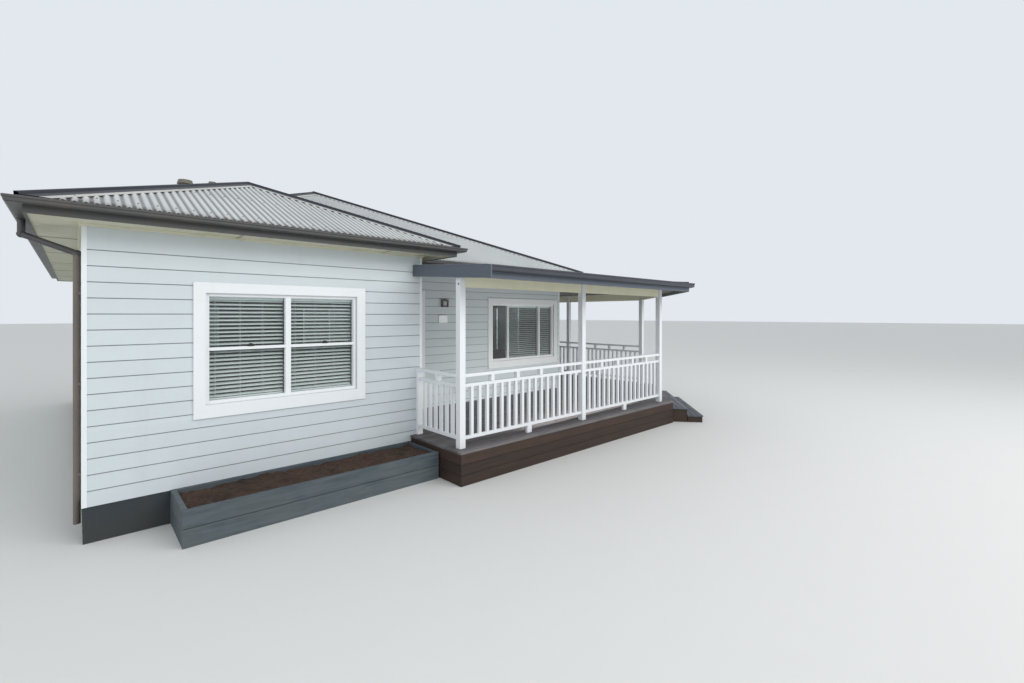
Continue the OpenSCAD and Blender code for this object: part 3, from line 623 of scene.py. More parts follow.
def sheet(name, corner, along, inward, s_range, lower, upper, rise=RISE, slot="roof_metal"):
    """Corrugated sheet of one roof plane: height = plane + LIFT + WAVE times the cosine of the distance
    along the eave, between the lower and the upper edge, which give the distance up the slope at each
    distance along. Screws stand in rows on every second ridge."""
    n = int(round((s_range[1] - s_range[0]) / PITCH * WAVE_POINTS)) + 1
    s = np.linspace(*s_range, n)
    t0, t1 = lower(s), upper(s)
    keep = t1 - t0 > SLIVER
    s, t0, t1 = s[keep], t0[keep], t1[keep]
    turns = np.cos(2 * np.pi * s / PITCH)
    rings = []
    for t, dz in ((t0, 0.0), (t1, 0.0), (t1, -GAUGE), (t0, -GAUGE)):
        high = rise * t + LIFT + WAVE * turns + dz
        rings.append(corner + s[:, None] * along + t[:, None] * inward + high[:, None] * Z)
    part = loft(np.stack(rings, 1)[None])
    low = np.stack([0 * t0, t1 - t0, t1 - t0, 0 * t0], 1).ravel()
    first, last = math.ceil(s[0] / PITCH / 2), s[-1] / PITCH / 2
    cs, ct = np.meshgrid(np.arange(first, last) * PITCH * 2, np.arange(FIRST_ROW, t1.max(), ROW_GAP))
    inside = (ct > lower(cs) + SCREW_LOW) & (ct < upper(cs) - SCREW_HIGH)
    cs, ct = cs[inside][:, None], ct[inside][:, None]
    screw_at.append(corner + cs * along + ct * inward + (rise * ct + LIFT + WAVE) * Z)
    # The pan mark is 1 in the troughs, which the sheet material darkens: painted shade with dirt.
    piece(name, part, slot, SHEET, smooth=50, low=low, pan=np.repeat(0.5 - 0.5 * turns, 4))


def line(*pts):
    """Edge of a sheet: straight between points of (distance along, distance up the slope)."""
    xs, ys = zip(*pts)
    return lambda s: np.interp(s, xs, ys)


WING_UP, MAIN_UP = WING_W / 2 + EAVE, MAIN_W / 2 + EAVE
WING_SPAN, MAIN_SPAN = 2 * WING_UP, 2 * MAIN_UP
FRONT_Y, REAR_Y = RECESS - EAVE, BACK_Y + EAVE
DEPTH, LEFT_SPAN = REAR_Y - FRONT_Y, BACK_Y + 2 * EAVE
HUB_X, HUB_Y, TOP_X = WING_UP - EAVE, FRONT_Y + WING_UP, MAIN_UP - EAVE
HUB_S, TOP_Y, TOP_Y2 = HUB_Y + EAVE, FRONT_Y + MAIN_UP, REAR_Y - MAIN_UP
VALLEY_GAP = 0.09

EAVE_LINE = line((-FAR, -HANG), (FAR, -HANG))
sheet("sheets_left", np.array([-EAVE, -EAVE, ROOF_Z]), Y, X, (-HANG, LEFT_SPAN + HANG), EAVE_LINE,
      line((-HANG, -HANG), (WING_UP, WING_UP), (HUB_S, WING_UP), (TOP_Y + EAVE, MAIN_UP),
           (TOP_Y2 + EAVE, MAIN_UP), (LEFT_SPAN + HANG, -HANG)))
sheet("sheets_wing_front", np.array([-EAVE, -EAVE, ROOF_Z]), X, Y, (-HANG, WING_SPAN + HANG), EAVE_LINE,
      line((-HANG, -HANG), (WING_UP, WING_UP), (WING_SPAN + HANG, -HANG)))
sheet("sheets_wing_right", np.array([WING_W + EAVE, -EAVE, ROOF_Z]), Y, -X, (-HANG, HUB_S),
      line((-FAR, -HANG), (RECESS - HANG - VALLEY_GAP, -HANG), (HUB_S, WING_UP + VALLEY_GAP)),
      line((-HANG, -HANG), (WING_UP, WING_UP), (FAR, WING_UP)))
sheet("sheets_main_front", np.array([0.0, FRONT_Y, ROOF_Z]), X, Y, (HUB_X, MAIN_W + EAVE + HANG),
      line((HUB_X, WING_UP + VALLEY_GAP), (WING_W + EAVE + VALLEY_GAP + HANG, -HANG), (FAR, -HANG)),
      line((HUB_X, WING_UP), (TOP_X, MAIN_UP), (MAIN_W + EAVE + HANG, -HANG)))
sheet("sheets_main_right", np.array([MAIN_W + EAVE, FRONT_Y, ROOF_Z]), Y, -X, (-HANG, DEPTH + HANG),
      EAVE_LINE,
      line((-HANG, -HANG), (MAIN_UP, MAIN_UP), (DEPTH - MAIN_UP, MAIN_UP), (DEPTH + HANG, -HANG)))
sheet("sheets_main_back", np.array([-EAVE, REAR_Y, ROOF_Z]), X, -Y, (-HANG, MAIN_SPAN + HANG), EAVE_LINE,
      line((-HANG, -HANG), (MAIN_UP, MAIN_UP), (MAIN_SPAN + HANG, -HANG)))


# Ridge and hip cappings, valley tray

HIP = RISE / math.sqrt(2)
CAP_HALF, CAP_LIP, CAP_T, CAP_LIFT, THIN_ROLL, FAT_ROLL = 0.11, 0.012, 0.002, 0.024, 0.022, 0.034
FLANGE_IN, FLANGE_OUT, FLANGE_LIFT, FOAM_H = 0.1, 0.16, 0.0235, 0.025


def cap_profile(slope, half, roll):
    """Section of a ridge capping: two wings that fall at a slope, turned-down lips and a half-round
    roll."""
    a = np.linspace(math.pi - 0.35, 0.35, 9)
    arc = np.stack([roll * np.cos(a), roll * np.sin(a)], 1)
    fall = -slope * half
    left = np.array([[-half, fall - CAP_LIP], [-half, fall], [-roll - 0.004, -slope * roll]])
    top = np.concatenate([left, arc, left[::-1] * [-1, 1]])
    inner = top.copy()
    inner[:, 1] -= CAP_T
    inner[[0, -1], 1] = top[[0, -1], 1]
    inner[:2, 0] += CAP_T
    inner[-2:, 0] -= CAP_T
    return np.concatenate([top, inner[::-1]])


def along_hip(ends, side, prof, lift, cut):
    """Bar from one end to the other, its profile set out along a level side direction and upwards. At the
    lower end each point starts further up by its distance to the side times cut, so the bar ends along
    the eaves."""
    a, b = (np.array(e, float) + lift * Z for e in ends)
    side = np.array(side, float) / np.linalg.norm(side)
    run = (b - a) / np.linalg.norm((b - a)[:2])
    off = prof[:, :1] * side + prof[:, 1:] * Z
    return loft(np.stack([a + off + cut * np.abs(prof[:, :1]) * run, b + off])[None])


def up(x, y, d):
    """Point on the roof at a distance up from the eave line."""
    return [x, y, ROOF_Z + RISE * d]


CAP_OVER = HANG + 0.02
LEFT_X, WING_X, RIGHT_X = -EAVE - CAP_OVER, WING_W + EAVE + CAP_OVER, MAIN_W + EAVE + CAP_OVER
HUB, TOP, TOP_BACK = up(HUB_X, HUB_X, WING_UP), up(TOP_X, TOP_Y, MAIN_UP), up(TOP_X, TOP_Y2, MAIN_UP)
HUB_BACK = up(HUB_X, HUB_Y, WING_UP)
HIPS = [
    ([up(LEFT_X, LEFT_X, -CAP_OVER), HUB], (1, -1, 0), THIN_ROLL),
    ([up(WING_X, LEFT_X, -CAP_OVER), HUB], (1, 1, 0), THIN_ROLL),
    ([HUB_BACK, TOP], (1, -1, 0), THIN_ROLL),
    ([up(RIGHT_X, FRONT_Y - CAP_OVER, -CAP_OVER), TOP], (1, 1, 0), FAT_ROLL),
    ([up(RIGHT_X, REAR_Y + CAP_OVER, -CAP_OVER), TOP_BACK], (1, -1, 0), FAT_ROLL),
    ([up(LEFT_X, REAR_Y + CAP_OVER, -CAP_OVER), TOP_BACK], (1, 1, 0), FAT_ROLL),
]
WING_RIDGE = [HUB, HUB_BACK]
MAIN_RIDGE = [up(TOP_X, TOP_Y - 0.01, MAIN_UP), up(TOP_X, TOP_Y2 + 0.01, MAIN_UP)]
caps = [along_hip(ends, side, cap_profile(HIP, CAP_HALF, roll), CAP_LIFT, 1) for ends, side, roll in HIPS]
caps += [along_hip(ends, X, cap_profile(RISE, CAP_HALF, THIN_ROLL), CAP_LIFT, 0)
         for ends in (WING_RIDGE, MAIN_RIDGE)]
piece("hip_cappings", caps, "dark_metal", CAP, smooth=35)


def mirrored(ends, side, prof, cut):
    """The same bar on both sides of a hip or ridge."""
    return [along_hip(ends, side, prof * [k, 1], FLANGE_LIFT, cut) for k in (1, -1)]


def flange(slope):
    """Flat strip beside a capping, which falls with the roof and has a turned-down lip."""
    a, b = FLANGE_IN, FLANGE_OUT
    high, low = -slope * a, -slope * b
    return np.array([[a, high], [b, low], [b + 0.001, low - 0.005], [b - 0.001, low - 0.005],
                     [b - 0.002, low - 0.002], [a, high - 0.0015]])


def infill(slope):
    """Foam strip that closes the pans of the sheets under the outer edge of a flange; its dark colour also
    paints the shadow line under the flange.
    """
    k = FLANGE_OUT - np.array([0.016, 0.003, 0.003, 0.016])
    return np.stack([k, -slope * k - 0.003 - np.array([0, 0, FOAM_H, FOAM_H])], 1)


flanges, foam_and_shadow_strips = [], []
for made, section in ((flanges, flange), (foam_and_shadow_strips, infill)):
    for ends, side, _ in HIPS:
        made += mirrored(ends, side, section(HIP), 1)
    made += mirrored(WING_RIDGE, X, section(RISE), 0)
piece("hip_flanges", flanges, "roof_metal", FLANGE, smooth=35)
# Dark strips under the flanges' edges: foam closures that also paint the flanges' shadow line.
piece("hip_infills_and_shadow_lines", foam_and_shadow_strips, "dark_metal", INFILL_AND_SHADOW)

TRAY_W, TRAY_T, TRAY_OUT = 0.11, 0.002, 0.03
tray = np.array([[-TRAY_W, HIP * TRAY_W], [0, 0.0], [TRAY_W, HIP * TRAY_W], [TRAY_W, HIP * TRAY_W + TRAY_T],
                 [0, TRAY_T], [-TRAY_W, HIP * TRAY_W + TRAY_T]])
valley_foot = up(WING_W + EAVE + TRAY_OUT, FRONT_Y - TRAY_OUT, -TRAY_OUT)
piece("valley_tray", bars(valley_foot, HUB_BACK, heading(45), Z, tray + [0, 0.003]), "dark_metal", TRAY)


# Verandah roof sheets, between the outer edges of its front, right side, back end and cut corner

PORCH_F, PORCH_L, PORCH_R, PORCH_B, PORCH_CUT = -1.687, 3.59, 11.0, 5.79, 8.71
PORCH_RISE = tan(4)
PORCH_TOP = 2.798 - 0.02 * PORCH_RISE
HALF_1, HALF_2 = CUT_TURN / 2, 45 - CUT_TURN / 2
CUT_DIR, CUT_IN = heading(CUT_TURN), heading(CUT_TURN + 90)
CUT_L = (PORCH_R - PORCH_CUT) / CUT_DIR[0]
CUT_Y = PORCH_F + (PORCH_R - PORCH_CUT) * tan(CUT_TURN)
TO_WALL = RECESS - BUTT - PORCH_F
# The front sheets stop at the wing's wall over WING_END, and the side sheets reach SIDE_REACH at most.
WING_END, SIDE_REACH = 0.181, 2.88


def front_top(s):
    """Upper edge of the front sheets: before the wing's wall, then at the main wall or the first mitre."""
    mitre = (PORCH_CUT - PORCH_L - s) * tan(90 - HALF_1)
    return np.where(s < WING_END, -PORCH_F - TRIM_T, np.minimum(TO_WALL, mitre))


def cut_top(s):
    """Upper edge of the cut corner's sheets: at the two mitres or the main wall."""
    mitres = np.minimum(s * tan(90 - HALF_1), (CUT_L - s) * tan(90 - HALF_2))
    return np.minimum(mitres, (TO_WALL - s * CUT_DIR[1]) / CUT_IN[1])


def side_top(s):
    """Upper edge of the side sheets: at the second mitre before the main wall, then along the right wall."""
    return np.where(s + CUT_Y < RECESS - TRIM_T, np.minimum(s * tan(90 - HALF_2), SIDE_REACH),
                    PORCH_R - MAIN_W - TRIM_T)


MITRE_1, MITRE_2 = np.array([PORCH_CUT, PORCH_F, PORCH_TOP]), np.array([PORCH_R, CUT_Y, PORCH_TOP])
sheet("sheets_verandah_front", np.array([PORCH_L, PORCH_F, PORCH_TOP]), X, Y, (0.0, PORCH_CUT - PORCH_L),
      EAVE_LINE, front_top, PORCH_RISE, "porch_roof")
sheet("sheets_verandah_cut", MITRE_1, CUT_DIR, CUT_IN, (0.0, CUT_L), EAVE_LINE, cut_top, PORCH_RISE,
      "porch_roof")
sheet("sheets_verandah_side", MITRE_2, Y, -X, (0.0, PORCH_B - CUT_Y), EAVE_LINE, side_top, PORCH_RISE,
      "porch_roof")
# Cappings of the two mitres: foot, direction in plan, half of the turn there, and length in plan
mitres = []
for base, turn, half, reach in ((MITRE_1, 90 + HALF_1, HALF_1, 3.45),
                                (MITRE_2, 90 + CUT_TURN + HALF_2, HALF_2, 2.62)):
    run = heading(turn)
    fall = PORCH_RISE * math.cos(math.radians(half))
    mitres.append(along_hip([base, base + reach * run + reach * fall * Z], [-run[1], run[0], 0],
                            cap_profile(0.02, 0.1, 0.02), CAP_LIFT, tan(half)))
piece("verandah_cappings", mitres, "dark_metal", CAP, smooth=35)

HEAD = ((-0.004, 0.009), (0.003, 0.008), (0.007, 0.004))
hexagon = circle(6)
heads = np.stack([d * Z + r * (hexagon[:, :1] * X + hexagon[:, 1:] * Y) for d, r in HEAD])
piece("roof_screws", loft(np.concatenate(screw_at)[:, None, None] + heads), "roof_metal", SCREW)


# Gutters

def quad_gutter(d0, w, z0, h):
    """Gutter section w wide and h high, with a rolled bead on its front edge, as (distance outwards,
    height)."""
    out, top = d0 + w, z0 + h
    return [(d0 + 0.001, top), (d0 + 0.001, z0 + 0.001), (out - 0.024, z0 + 0.001),
            (out - 0.009, z0 + 0.012), (out - 0.007, top - 0.026), (out + 0.001, top - 0.02),
            (out + 0.002, top - 0.006), (out - 0.005, top), (out - 0.013, top - 0.006),
            (out - 0.013, top - 0.018), (out - 0.010, top - 0.026), (out - 0.012, z0 + 0.014),
            (out - 0.025, z0 + 0.004), (d0 + 0.004, z0 + 0.004), (d0 + 0.004, top)]


GUTTER_OUT, GUTTER_W, GUTTER_Z, GUTTER_H = 0.38, 0.115, 3.125, 0.06
PORCH_GUTTER_W, PORCH_GUTTER_Z, PORCH_GUTTER_H, INSET = 0.1, 2.728, 0.08, 0.02
piece("house_gutter", swept(around, quad_gutter(GUTTER_OUT, GUTTER_W, GUTTER_Z, GUTTER_H), closed=True),
      "dark_metal", DARK, smooth=30, replaces=["gutter"])


def porch_path(x0, y1):
    """Outer edge of the verandah roof at a distance outwards, from its left end x0 to its back end y1."""
    return lambda d: np.array([[x0, PORCH_F - d], [PORCH_CUT + d * tan(HALF_1), PORCH_F - d],
                               [PORCH_R + d, CUT_Y - d * tan(HALF_2)], [PORCH_R + d, y1]])


quad = quad_gutter(0.0, PORCH_GUTTER_W, PORCH_GUTTER_Z, PORCH_GUTTER_H)
lip = (PORCH_GUTTER_W - 0.006, PORCH_GUTTER_Z + PORCH_GUTTER_H - 0.002)
stop = np.array(quad[:5] + [lip])
end_x, end_y = PORCH_L + INSET, PORCH_B - INSET
piece("verandah_gutter_run", [swept(porch_path(end_x, end_y), quad),
      bars([end_x, PORCH_F, 0], [end_x + 0.002, PORCH_F, 0], -Y, Z, stop),
      bars([PORCH_R, end_y, 0], [PORCH_R, end_y - 0.002, 0], X, Z, stop)],
      "porch_gutter", PORCH_GUTTER, smooth=30, replaces=["verandah_gutter"])


# Joint strips of the soffit boards, and the bead where the soffit meets the walls

STRIP = plank(0.03, 0.006, 0.002)
STRIP_Z, FIRST_STRIP, STRIP_GAP = WALL_Z - 0.001, 1.3, 1.8


def strip(start, end, side):
    """Joint strip under the soffit between two points of the plan."""
    return bars([*start, STRIP_Z], [*end, STRIP_Z], side, Z, STRIP)


strips = []
for y in np.arange(FIRST_STRIP, REAR_Y, STRIP_GAP):
    strips.append(strip((-EAVE, y), (0, y), Y))
    if y > RECESS:
        strips.append(strip((MAIN_W, y), (MAIN_W + EAVE, y), Y))
for x in np.arange(FIRST_STRIP, WING_W, STRIP_GAP):
    strips.append(strip((x, -EAVE), (x, 0), X))
for x in np.arange(FIRST_STRIP, MAIN_W - 1, STRIP_GAP):
    strips.append(strip((x, BACK_Y), (x, BACK_Y + EAVE), X))
piece("soffit_strips", strips, "soffit_board", JOINT)
QUARTER = [(BUTT - 0.002, WALL_Z), (BUTT + 0.022, WALL_Z), (BUTT + 0.02, WALL_Z - 0.01),
           (BUTT + 0.01, WALL_Z - 0.02), (BUTT - 0.002, WALL_Z - 0.022)]
piece("soffit_bead", swept(around, QUARTER, closed=True), "soffit_board", SOFFIT)


# Windows: centre, direction in degrees, width, mullions as shares of the width, their own width, and the
# lights that have a blind

PAIR, TRIPLE = (WIN_W, [0.5], 0.060, (0, 1)), (PORCH_WIN_W, [0.246, 0.754], 0.038, (1, 2))
WINDOWS = [(WING_WIN_X, 0.0, 0) + PAIR, (PORCH_WIN_X, RECESS, 0) + TRIPLE]
WINDOWS += [(0.0, y, -90) + PAIR for y in SIDE_WIN_Y]
WINDOWS += [(MAIN_W, y, 90) + PAIR for y in SIDE_WIN_Y]
WINDOWS += [(x, BACK_Y, 180) + PAIR for x in BACK_WIN_X]
BLIND_Y, SLAT_GAP, SLAT_W, SLAT_LOW, TILT, SHUT = 0.104, 0.045, 0.05, 0.075, 26, 72
RAIL_Z, RAIL_HALF, SIDE_GAP, CORD_X = 0.61, 0.018, 0.008, np.array([0.085, 0.405, 0.71])
GLAZING_BEAD = [(-0.002, 0.020), (0.005, 0.021), (0.007, 0.026), (0.007, 0.034), (-0.002, 0.034)]
LATCH_BODY = [[-0.034, 0], [0.034, 0], [0.03, 0.018], [0.012, 0.034], [-0.016, 0.034], [-0.03, 0.017]]
CORD = plank(0.0024, 0.0012, 0.0004)


def lights(w, m, bar):
    """Left and right edge of each light of a window."""
    edges = [SASH] + [e for k in m for e in (k * w - bar / 2, k * w + bar / 2)] + [w - SASH]
    return list(zip(edges[::2], edges[1::2]))


def slat_at(degrees):
    """Bowed section of a slat, tipped by an angle."""
    a = math.radians(degrees)
    flat = np.array([[-0.5, 0], [-0.2, 0.05], [0.2, 0.05], [0.5, 0], [0.2, 0.02], [-0.2, 0.02]]) * SLAT_W
    return flat @ np.array([[math.cos(a), math.sin(a)], [-math.sin(a), math.cos(a)]])


def slats_of(x0, x1, section):
    """Slats of one blind from its left to its right edge, each a little out of level."""
    zs = np.arange(SLAT_LOW, WIN_H - SLAT_LOW, SLAT_GAP)
    n = len(zs)
    left = np.stack([np.full(n, x0), np.full(n, BLIND_Y), zs], 1)
    right = np.stack([np.full(n, x1), np.full(n, BLIND_Y), zs + rng.normal(0, 0.0012, n)], 1)
    return bars(left, right, Y, Z, section)


def blind_bar(x0, x1, half, z0, z1):
    """Rail at the head or the foot of a blind."""
    return box_bar(x0, x1, BLIND_Y - half, BLIND_Y + half, z0, z1)


rails, latches, slats, cords, blind_rails = [], [], [], [], []
for wx, wy, facing, w, mullions, bar, covered in WINDOWS:
    a = math.radians(facing)
    here = np.array([wx, wy, SILL_Z]) - w / 2 * heading(facing)
    for k, (e0, e1) in enumerate(lights(w, mullions, bar)):
        rails.append(moved(framed(e0, e1, SASH, WIN_H - SASH, GLAZING_BEAD), a, here))
        if len(mullions) == 1:
            meeting = box_bar(e0 - 0.002, e1 + 0.002, 0.014, 0.058, RAIL_Z - RAIL_HALF, RAIL_Z + RAIL_HALF)
            rails.append(moved(meeting, a, here))
            mid = (e0 + e1) / 2 + 0.02
            z = RAIL_Z + RAIL_HALF - 0.001
            latches.append(moved(bars([mid, 0.008, z], [mid, 0.030, z], X, Z, LATCH_BODY), a, here))
        else:
            rails.append(moved(box_bar(e0, e1, 0.006, 0.030, SASH, SASH + 0.016), a, here))
        if k not in covered:
            continue
        x0, x1 = e0 + SIDE_GAP, e1 - SIDE_GAP
        slats.append(moved(slats_of(x0, x1, slat_at(SHUT if facing else TILT)), a, here))
        blind_rails.append(moved(blind_bar(x0, x1, 0.024, WIN_H - 0.07, WIN_H - 0.022), a, here))
        blind_rails.append(moved(blind_bar(x0, x1, 0.022, 0.036, 0.054), a, here))
        cord_x = CORD_X * (x1 - x0) + x0
        for dy in (-0.023, 0.023):
            foot = np.stack([cord_x, np.full(3, BLIND_Y + dy), np.full(3, 0.05)], 1)
            cords.append(moved(bars(foot, foot + [0, 0, WIN_H - 0.11], X, Y, CORD), a, here))
piece("window_rails", rails, "window_frame", FRAME)
piece("window_latches", latches, "lamp_metal", LATCH, bevel=0.0015)
piece("blind_slats", slats, "window_frame", SLAT, smooth=40)
piece("blind_rails", blind_rails, "window_frame", SLAT)
piece("blind_cords", cords, "window_frame", SLAT)


# Front door

DOOR_X, DOOR_Y, DOOR_W, DOOR_H, DOOR_T = 3.875, RECESS + 0.04, 0.81, 2.115, 0.04
PANEL_W, PANEL_EDGE, PANEL_DEEP, FIELD_HIGH = 0.265, 0.045, 0.012, 0.008
PANELS = [(x, z0, z1) for x in (0.115, 0.43) for z0, z1 in ((0.2, 0.72), (0.86, 1.42), (1.54, 1.98))]
gx, gz = np.meshgrid(np.linspace(0, DOOR_W, 65), np.linspace(0, DOOR_H, 121))


def step_in(v, a, b, soft):
    """1 between a and b, 0 outside, with straight sides as wide as soft."""
    return np.clip(np.minimum(v - a, b - v) / soft, 0, 1)


def raised(edge, soft):
    """1 inside each panel of the door past its edge, 0 elsewhere."""
    return sum(step_in(gx, x + edge, x + PANEL_W - edge, soft) * step_in(gz, z0 + edge, z1 - edge, soft)
               for x, z0, z1 in PANELS)


relief = PANEL_DEEP * raised(0.0, 0.012) - FIELD_HIGH * raised(PANEL_EDGE, 0.03)
face = np.stack([DOOR_X + gx, DOOR_Y + relief, FLOOR_Z + gz], -1)
rear = np.stack([DOOR_X + gx, np.full_like(gx, DOOR_Y + DOOR_T), FLOOR_Z + gz], -1)
piece("door_leaf", slab(face, rear), "door_paint", DOOR, smooth=20, replaces=["front_door"])

knob = np.array([DOOR_X + DOOR_W - 0.06, DOOR_Y, 1.47])
disc = circle(12)
lever = [knob + [0.004 - t * 0.115, -0.05 + 0.006 * math.sin(t * 3), 0] for t in np.linspace(0, 1, 7)]
grip = [p + (0.009 - 0.0002 * k) * (disc[:, :1] * Y + disc[:, 1:] * Z) for k, p in enumerate(lever)]
grip = loft(np.array(grip)[None])
ROSE = [(0, 0.027), (0.006, 0.027), (0.009, 0.022), (0.011, 0.011), (0.055, 0.01)]
piece("door_handle", [turned(knob, -Y, X, Z, ROSE), grip], "lamp_metal", BOLT, smooth=35)


# Wall light and plate

LAMP_X, LAMP_Z, LAMP_HALF, GLOW_HALF = 5.235, 2.423, 0.0725, 0.049
LAMP_EDGE = [(0.0, RECESS), (0.0, RECESS - 0.056), (0.004, RECESS - 0.063), (0.018, RECESS - 0.065),
             (0.022, RECESS - 0.06), (0.024, RECESS - 0.035), (0.024, RECESS)]
piece("lamp_case", framed(LAMP_X - LAMP_HALF, LAMP_X + LAMP_HALF, LAMP_Z - LAMP_HALF, LAMP_Z + LAMP_HALF,
      LAMP_EDGE), "lamp_metal", LAMP, replaces=["wall_light"])
lu, lv = np.meshgrid(np.linspace(-1, 1, 17), np.linspace(-1, 1, 17))
bulge = RECESS - 0.04 - 0.014 * (1 - lu ** 4) * (1 - lv ** 4)
glow = np.stack([LAMP_X + GLOW_HALF * lu, bulge, LAMP_Z + GLOW_HALF * lv], -1)
behind = np.stack([LAMP_X + GLOW_HALF * lu, np.full_like(lu, RECESS - 0.01), LAMP_Z + GLOW_HALF * lv], -1)
piece("lamp_diffuser", slab(glow, behind), "lamp_metal", DIFFUSER, smooth=40)

PLATE_X, PLATE_Z, PLATE_A, PLATE_B, PLATE_T = 5.20, 2.121, 0.1, 0.072, 0.029
pu, pv = np.meshgrid(np.linspace(-1, 1, 41), np.linspace(-1, 1, 31))
from_edge = np.minimum((1 - np.abs(pu)) * PLATE_A, (1 - np.abs(pv)) * PLATE_B)
lipped = 0.004 * np.clip(from_edge / 0.003, 0, 1) - 0.0025 * np.clip((from_edge - 0.008) / 0.003, 0, 1)
tile = np.stack([PLATE_X + PLATE_A * pu, RECESS - PLATE_T - lipped, PLATE_Z + PLATE_B * pv], -1)
tile_back = np.stack([PLATE_X + PLATE_A * pu, np.full_like(pu, RECESS), PLATE_Z + PLATE_B * pv], -1)
SCREW_HEAD = [(0, 0.004), (0.0015, 0.0035), (0.0022, 0.002)]
screws = [turned([PLATE_X + dx, RECESS - PLATE_T - 0.001, PLATE_Z + dz], -Y, X, Z, SCREW_HEAD)
          for dx in (-0.084, 0.084) for dz in (-0.056, 0.056)]
piece("plate_face", slab(tile, tile_back), "plate_white", PLATE, smooth=30, replaces=["number_plate"])
piece("plate_screws", screws, "lamp_metal", BOLT, smooth=40)


# Deck and skirt

BOARD_W, BOARD_GAP, BOARD_T = 0.09, 0.004, 0.028
DECK_CUTS = (-CORNER_T, 0.0, CORNER_W, RECESS - CORNER_T, RECESS, RECESS + CORNER_W)


def deck_right(y):
    """Right edge of the deck at a depth y, along the cut corner and then the side."""
    return np.minimum(DECK_R, DECK_CUT + (y - DECK_F) / tan(CUT_TURN))


def deck_spans(y):
    """Where a deck board at a depth y starts and stops, clear of the walls and corner boards. None stands
    for the deck's right edge."""
    wing, main = WING_W + CORNER_T, MAIN_W + CORNER_T
    spans = ([(DECK_L, None)], [(DECK_L, WING_W - CORNER_W), (wing, None)], [(wing, None)],
             [(WING_W, None)], [(WING_W, MAIN_W - CORNER_W), (main, None)], [(main, None)], [(MAIN_W, None)])
    return spans[np.searchsorted(DECK_CUTS, y)]


rings = []
for y0 in np.arange(DECK_F, DECK_B - 0.01, BOARD_W + BOARD_GAP):
    y1 = min(y0 + BOARD_W, DECK_B)
    cuts = [y0] + [b for b in DECK_CUTS if y0 + BOARD_GAP < b < y1 - BOARD_GAP] + [y1]
    for a, b in zip(cuts, cuts[1:]):
        prof = plank(b - a, BOARD_T, 0.003) + [(a + b) / 2, FLOOR_Z - BOARD_T / 2]
        for x0, x1 in deck_spans((a + b) / 2):
            right = deck_right(prof[:, 0]) if x1 is None else np.full(len(prof), x1)
            rings.append([np.column_stack([e, prof]) for e in (np.full(len(prof), x0), right)])
piece("deck_boards", loft(rings), "deck_boards", DECK, replaces=["deck_floor"])


def deck_path(d):
    """Edge of the deck moved in by a distance, from the wing's wall round to the wall of the main house."""
    cut_y = DECK_F + (DECK_R - DECK_CUT) * tan(CUT_TURN) + d * tan(HALF_2)
    return np.array([[DECK_L + d, 0.0], [DECK_L + d, DECK_F + d], [DECK_CUT - d * tan(HALF_1), DECK_F + d],
                     [DECK_R - d, cut_y], [DECK_R - d, DECK_B - d], [MAIN_W + 0.02, DECK_B - d]])


SKIRT_ROWS, SKIRT_T, SKIRT_IN = 3, 0.025, 0.0245
ROW = (FLOOR_Z - BOARD_T) / SKIRT_ROWS
skirt = plank(SKIRT_T, ROW - BOARD_GAP, 0.003)
skirts = [swept(deck_path, skirt + [SKIRT_IN, ROW * (k + 0.5)]) for k in range(SKIRT_ROWS)]
piece("skirt_boards", skirts, "deck_stain", SKIRT, replaces=["deck_skirt"])


# Steps at the cut corner: three boards a tread, a riser and two end boards under each

STEP_W, STEP_H, STEP_GO, TREAD_D, RISER_T, RISER_IN = 2.389, 0.147, 0.3, 0.312, 0.025, 0.012
TREAD_L, TREAD_R, RISER_L, RISER_R = (share * STEP_W for share in (0.03, 0.97, 0.04, 0.96))
treads, risers = [], []
for i in (1, 2):
    top, back, w = FLOOR_Z - STEP_H * i, -STEP_GO * i, TREAD_D / 3
    for k in range(3):
        treads.append(box_bar(TREAD_L, TREAD_R, back + w * k + 0.001, back + w * (k + 1) - 0.003,
                              top - BOARD_T, top, 0.005))
    inner = back + RISER_IN + RISER_T
    risers.append(box_bar(RISER_L, RISER_R, back + RISER_IN, inner, 0.0, top - BOARD_T))
    for x in (RISER_L, RISER_R - RISER_T):
        risers.append(post_bar(x, x + RISER_T, inner, back + STEP_GO - 0.002, 0.0, top - BOARD_T))
turn, corner = math.radians(CUT_TURN), [DECK_CUT, DECK_F, 0]
piece("step_treads", [moved(p, turn, corner) for p in treads], "step_boards", TREAD, replaces=["steps"])
piece("step_risers", [moved(p, turn, corner) for p in risers], "step_boards", SKIRT)


# Bolts through the first and the last post into the ends of their beams

BOLT_PROFILE = [(0, 0.015), (0.002, 0.015), (0.0021, 0.010), (0.008, 0.010), (0.010, 0.007)]
FIRST_BOLT, LAST_BOLT = [3.644, -1.068, 2.605], [10.553, 5.388, 2.605]
piece("post_bolts", [turned(FIRST_BOLT, -X, Y, Z, BOLT_PROFILE), turned(LAST_BOLT, Y, X, Z, BOLT_PROFILE)],
      "lamp_metal", BOLT, smooth=30)


# Planter

BED_L, BED_R, BED_D, BED_H, BED_T, BED_GAP = 0.684, 3.54, 0.759, 0.357, 0.05, 0.002
boards = []
for z0, z1 in ((0, BED_H / 2 - BED_GAP), (BED_H / 2 + BED_GAP, BED_H)):
    boards.append(box_bar(BED_L, BED_R, -BED_D, -BED_D + BED_T, z0, z1, 0.005))
    boards.append(box_bar(BED_L, BED_R, -BED_T, 0, z0, z1, 0.005))
    for mid in (BED_L + BED_T / 2, BED_R - BED_T / 2):
        boards.append(bars([mid, -BED_D + BED_T, (z0 + z1) / 2], [mid, -BED_T, (z0 + z1) / 2], X, Z,
                           plank(BED_T, z1 - z0, 0.005)))
piece("planter_boards", boards, "planter_paint", SLEEPER, replaces=["planter_box"])

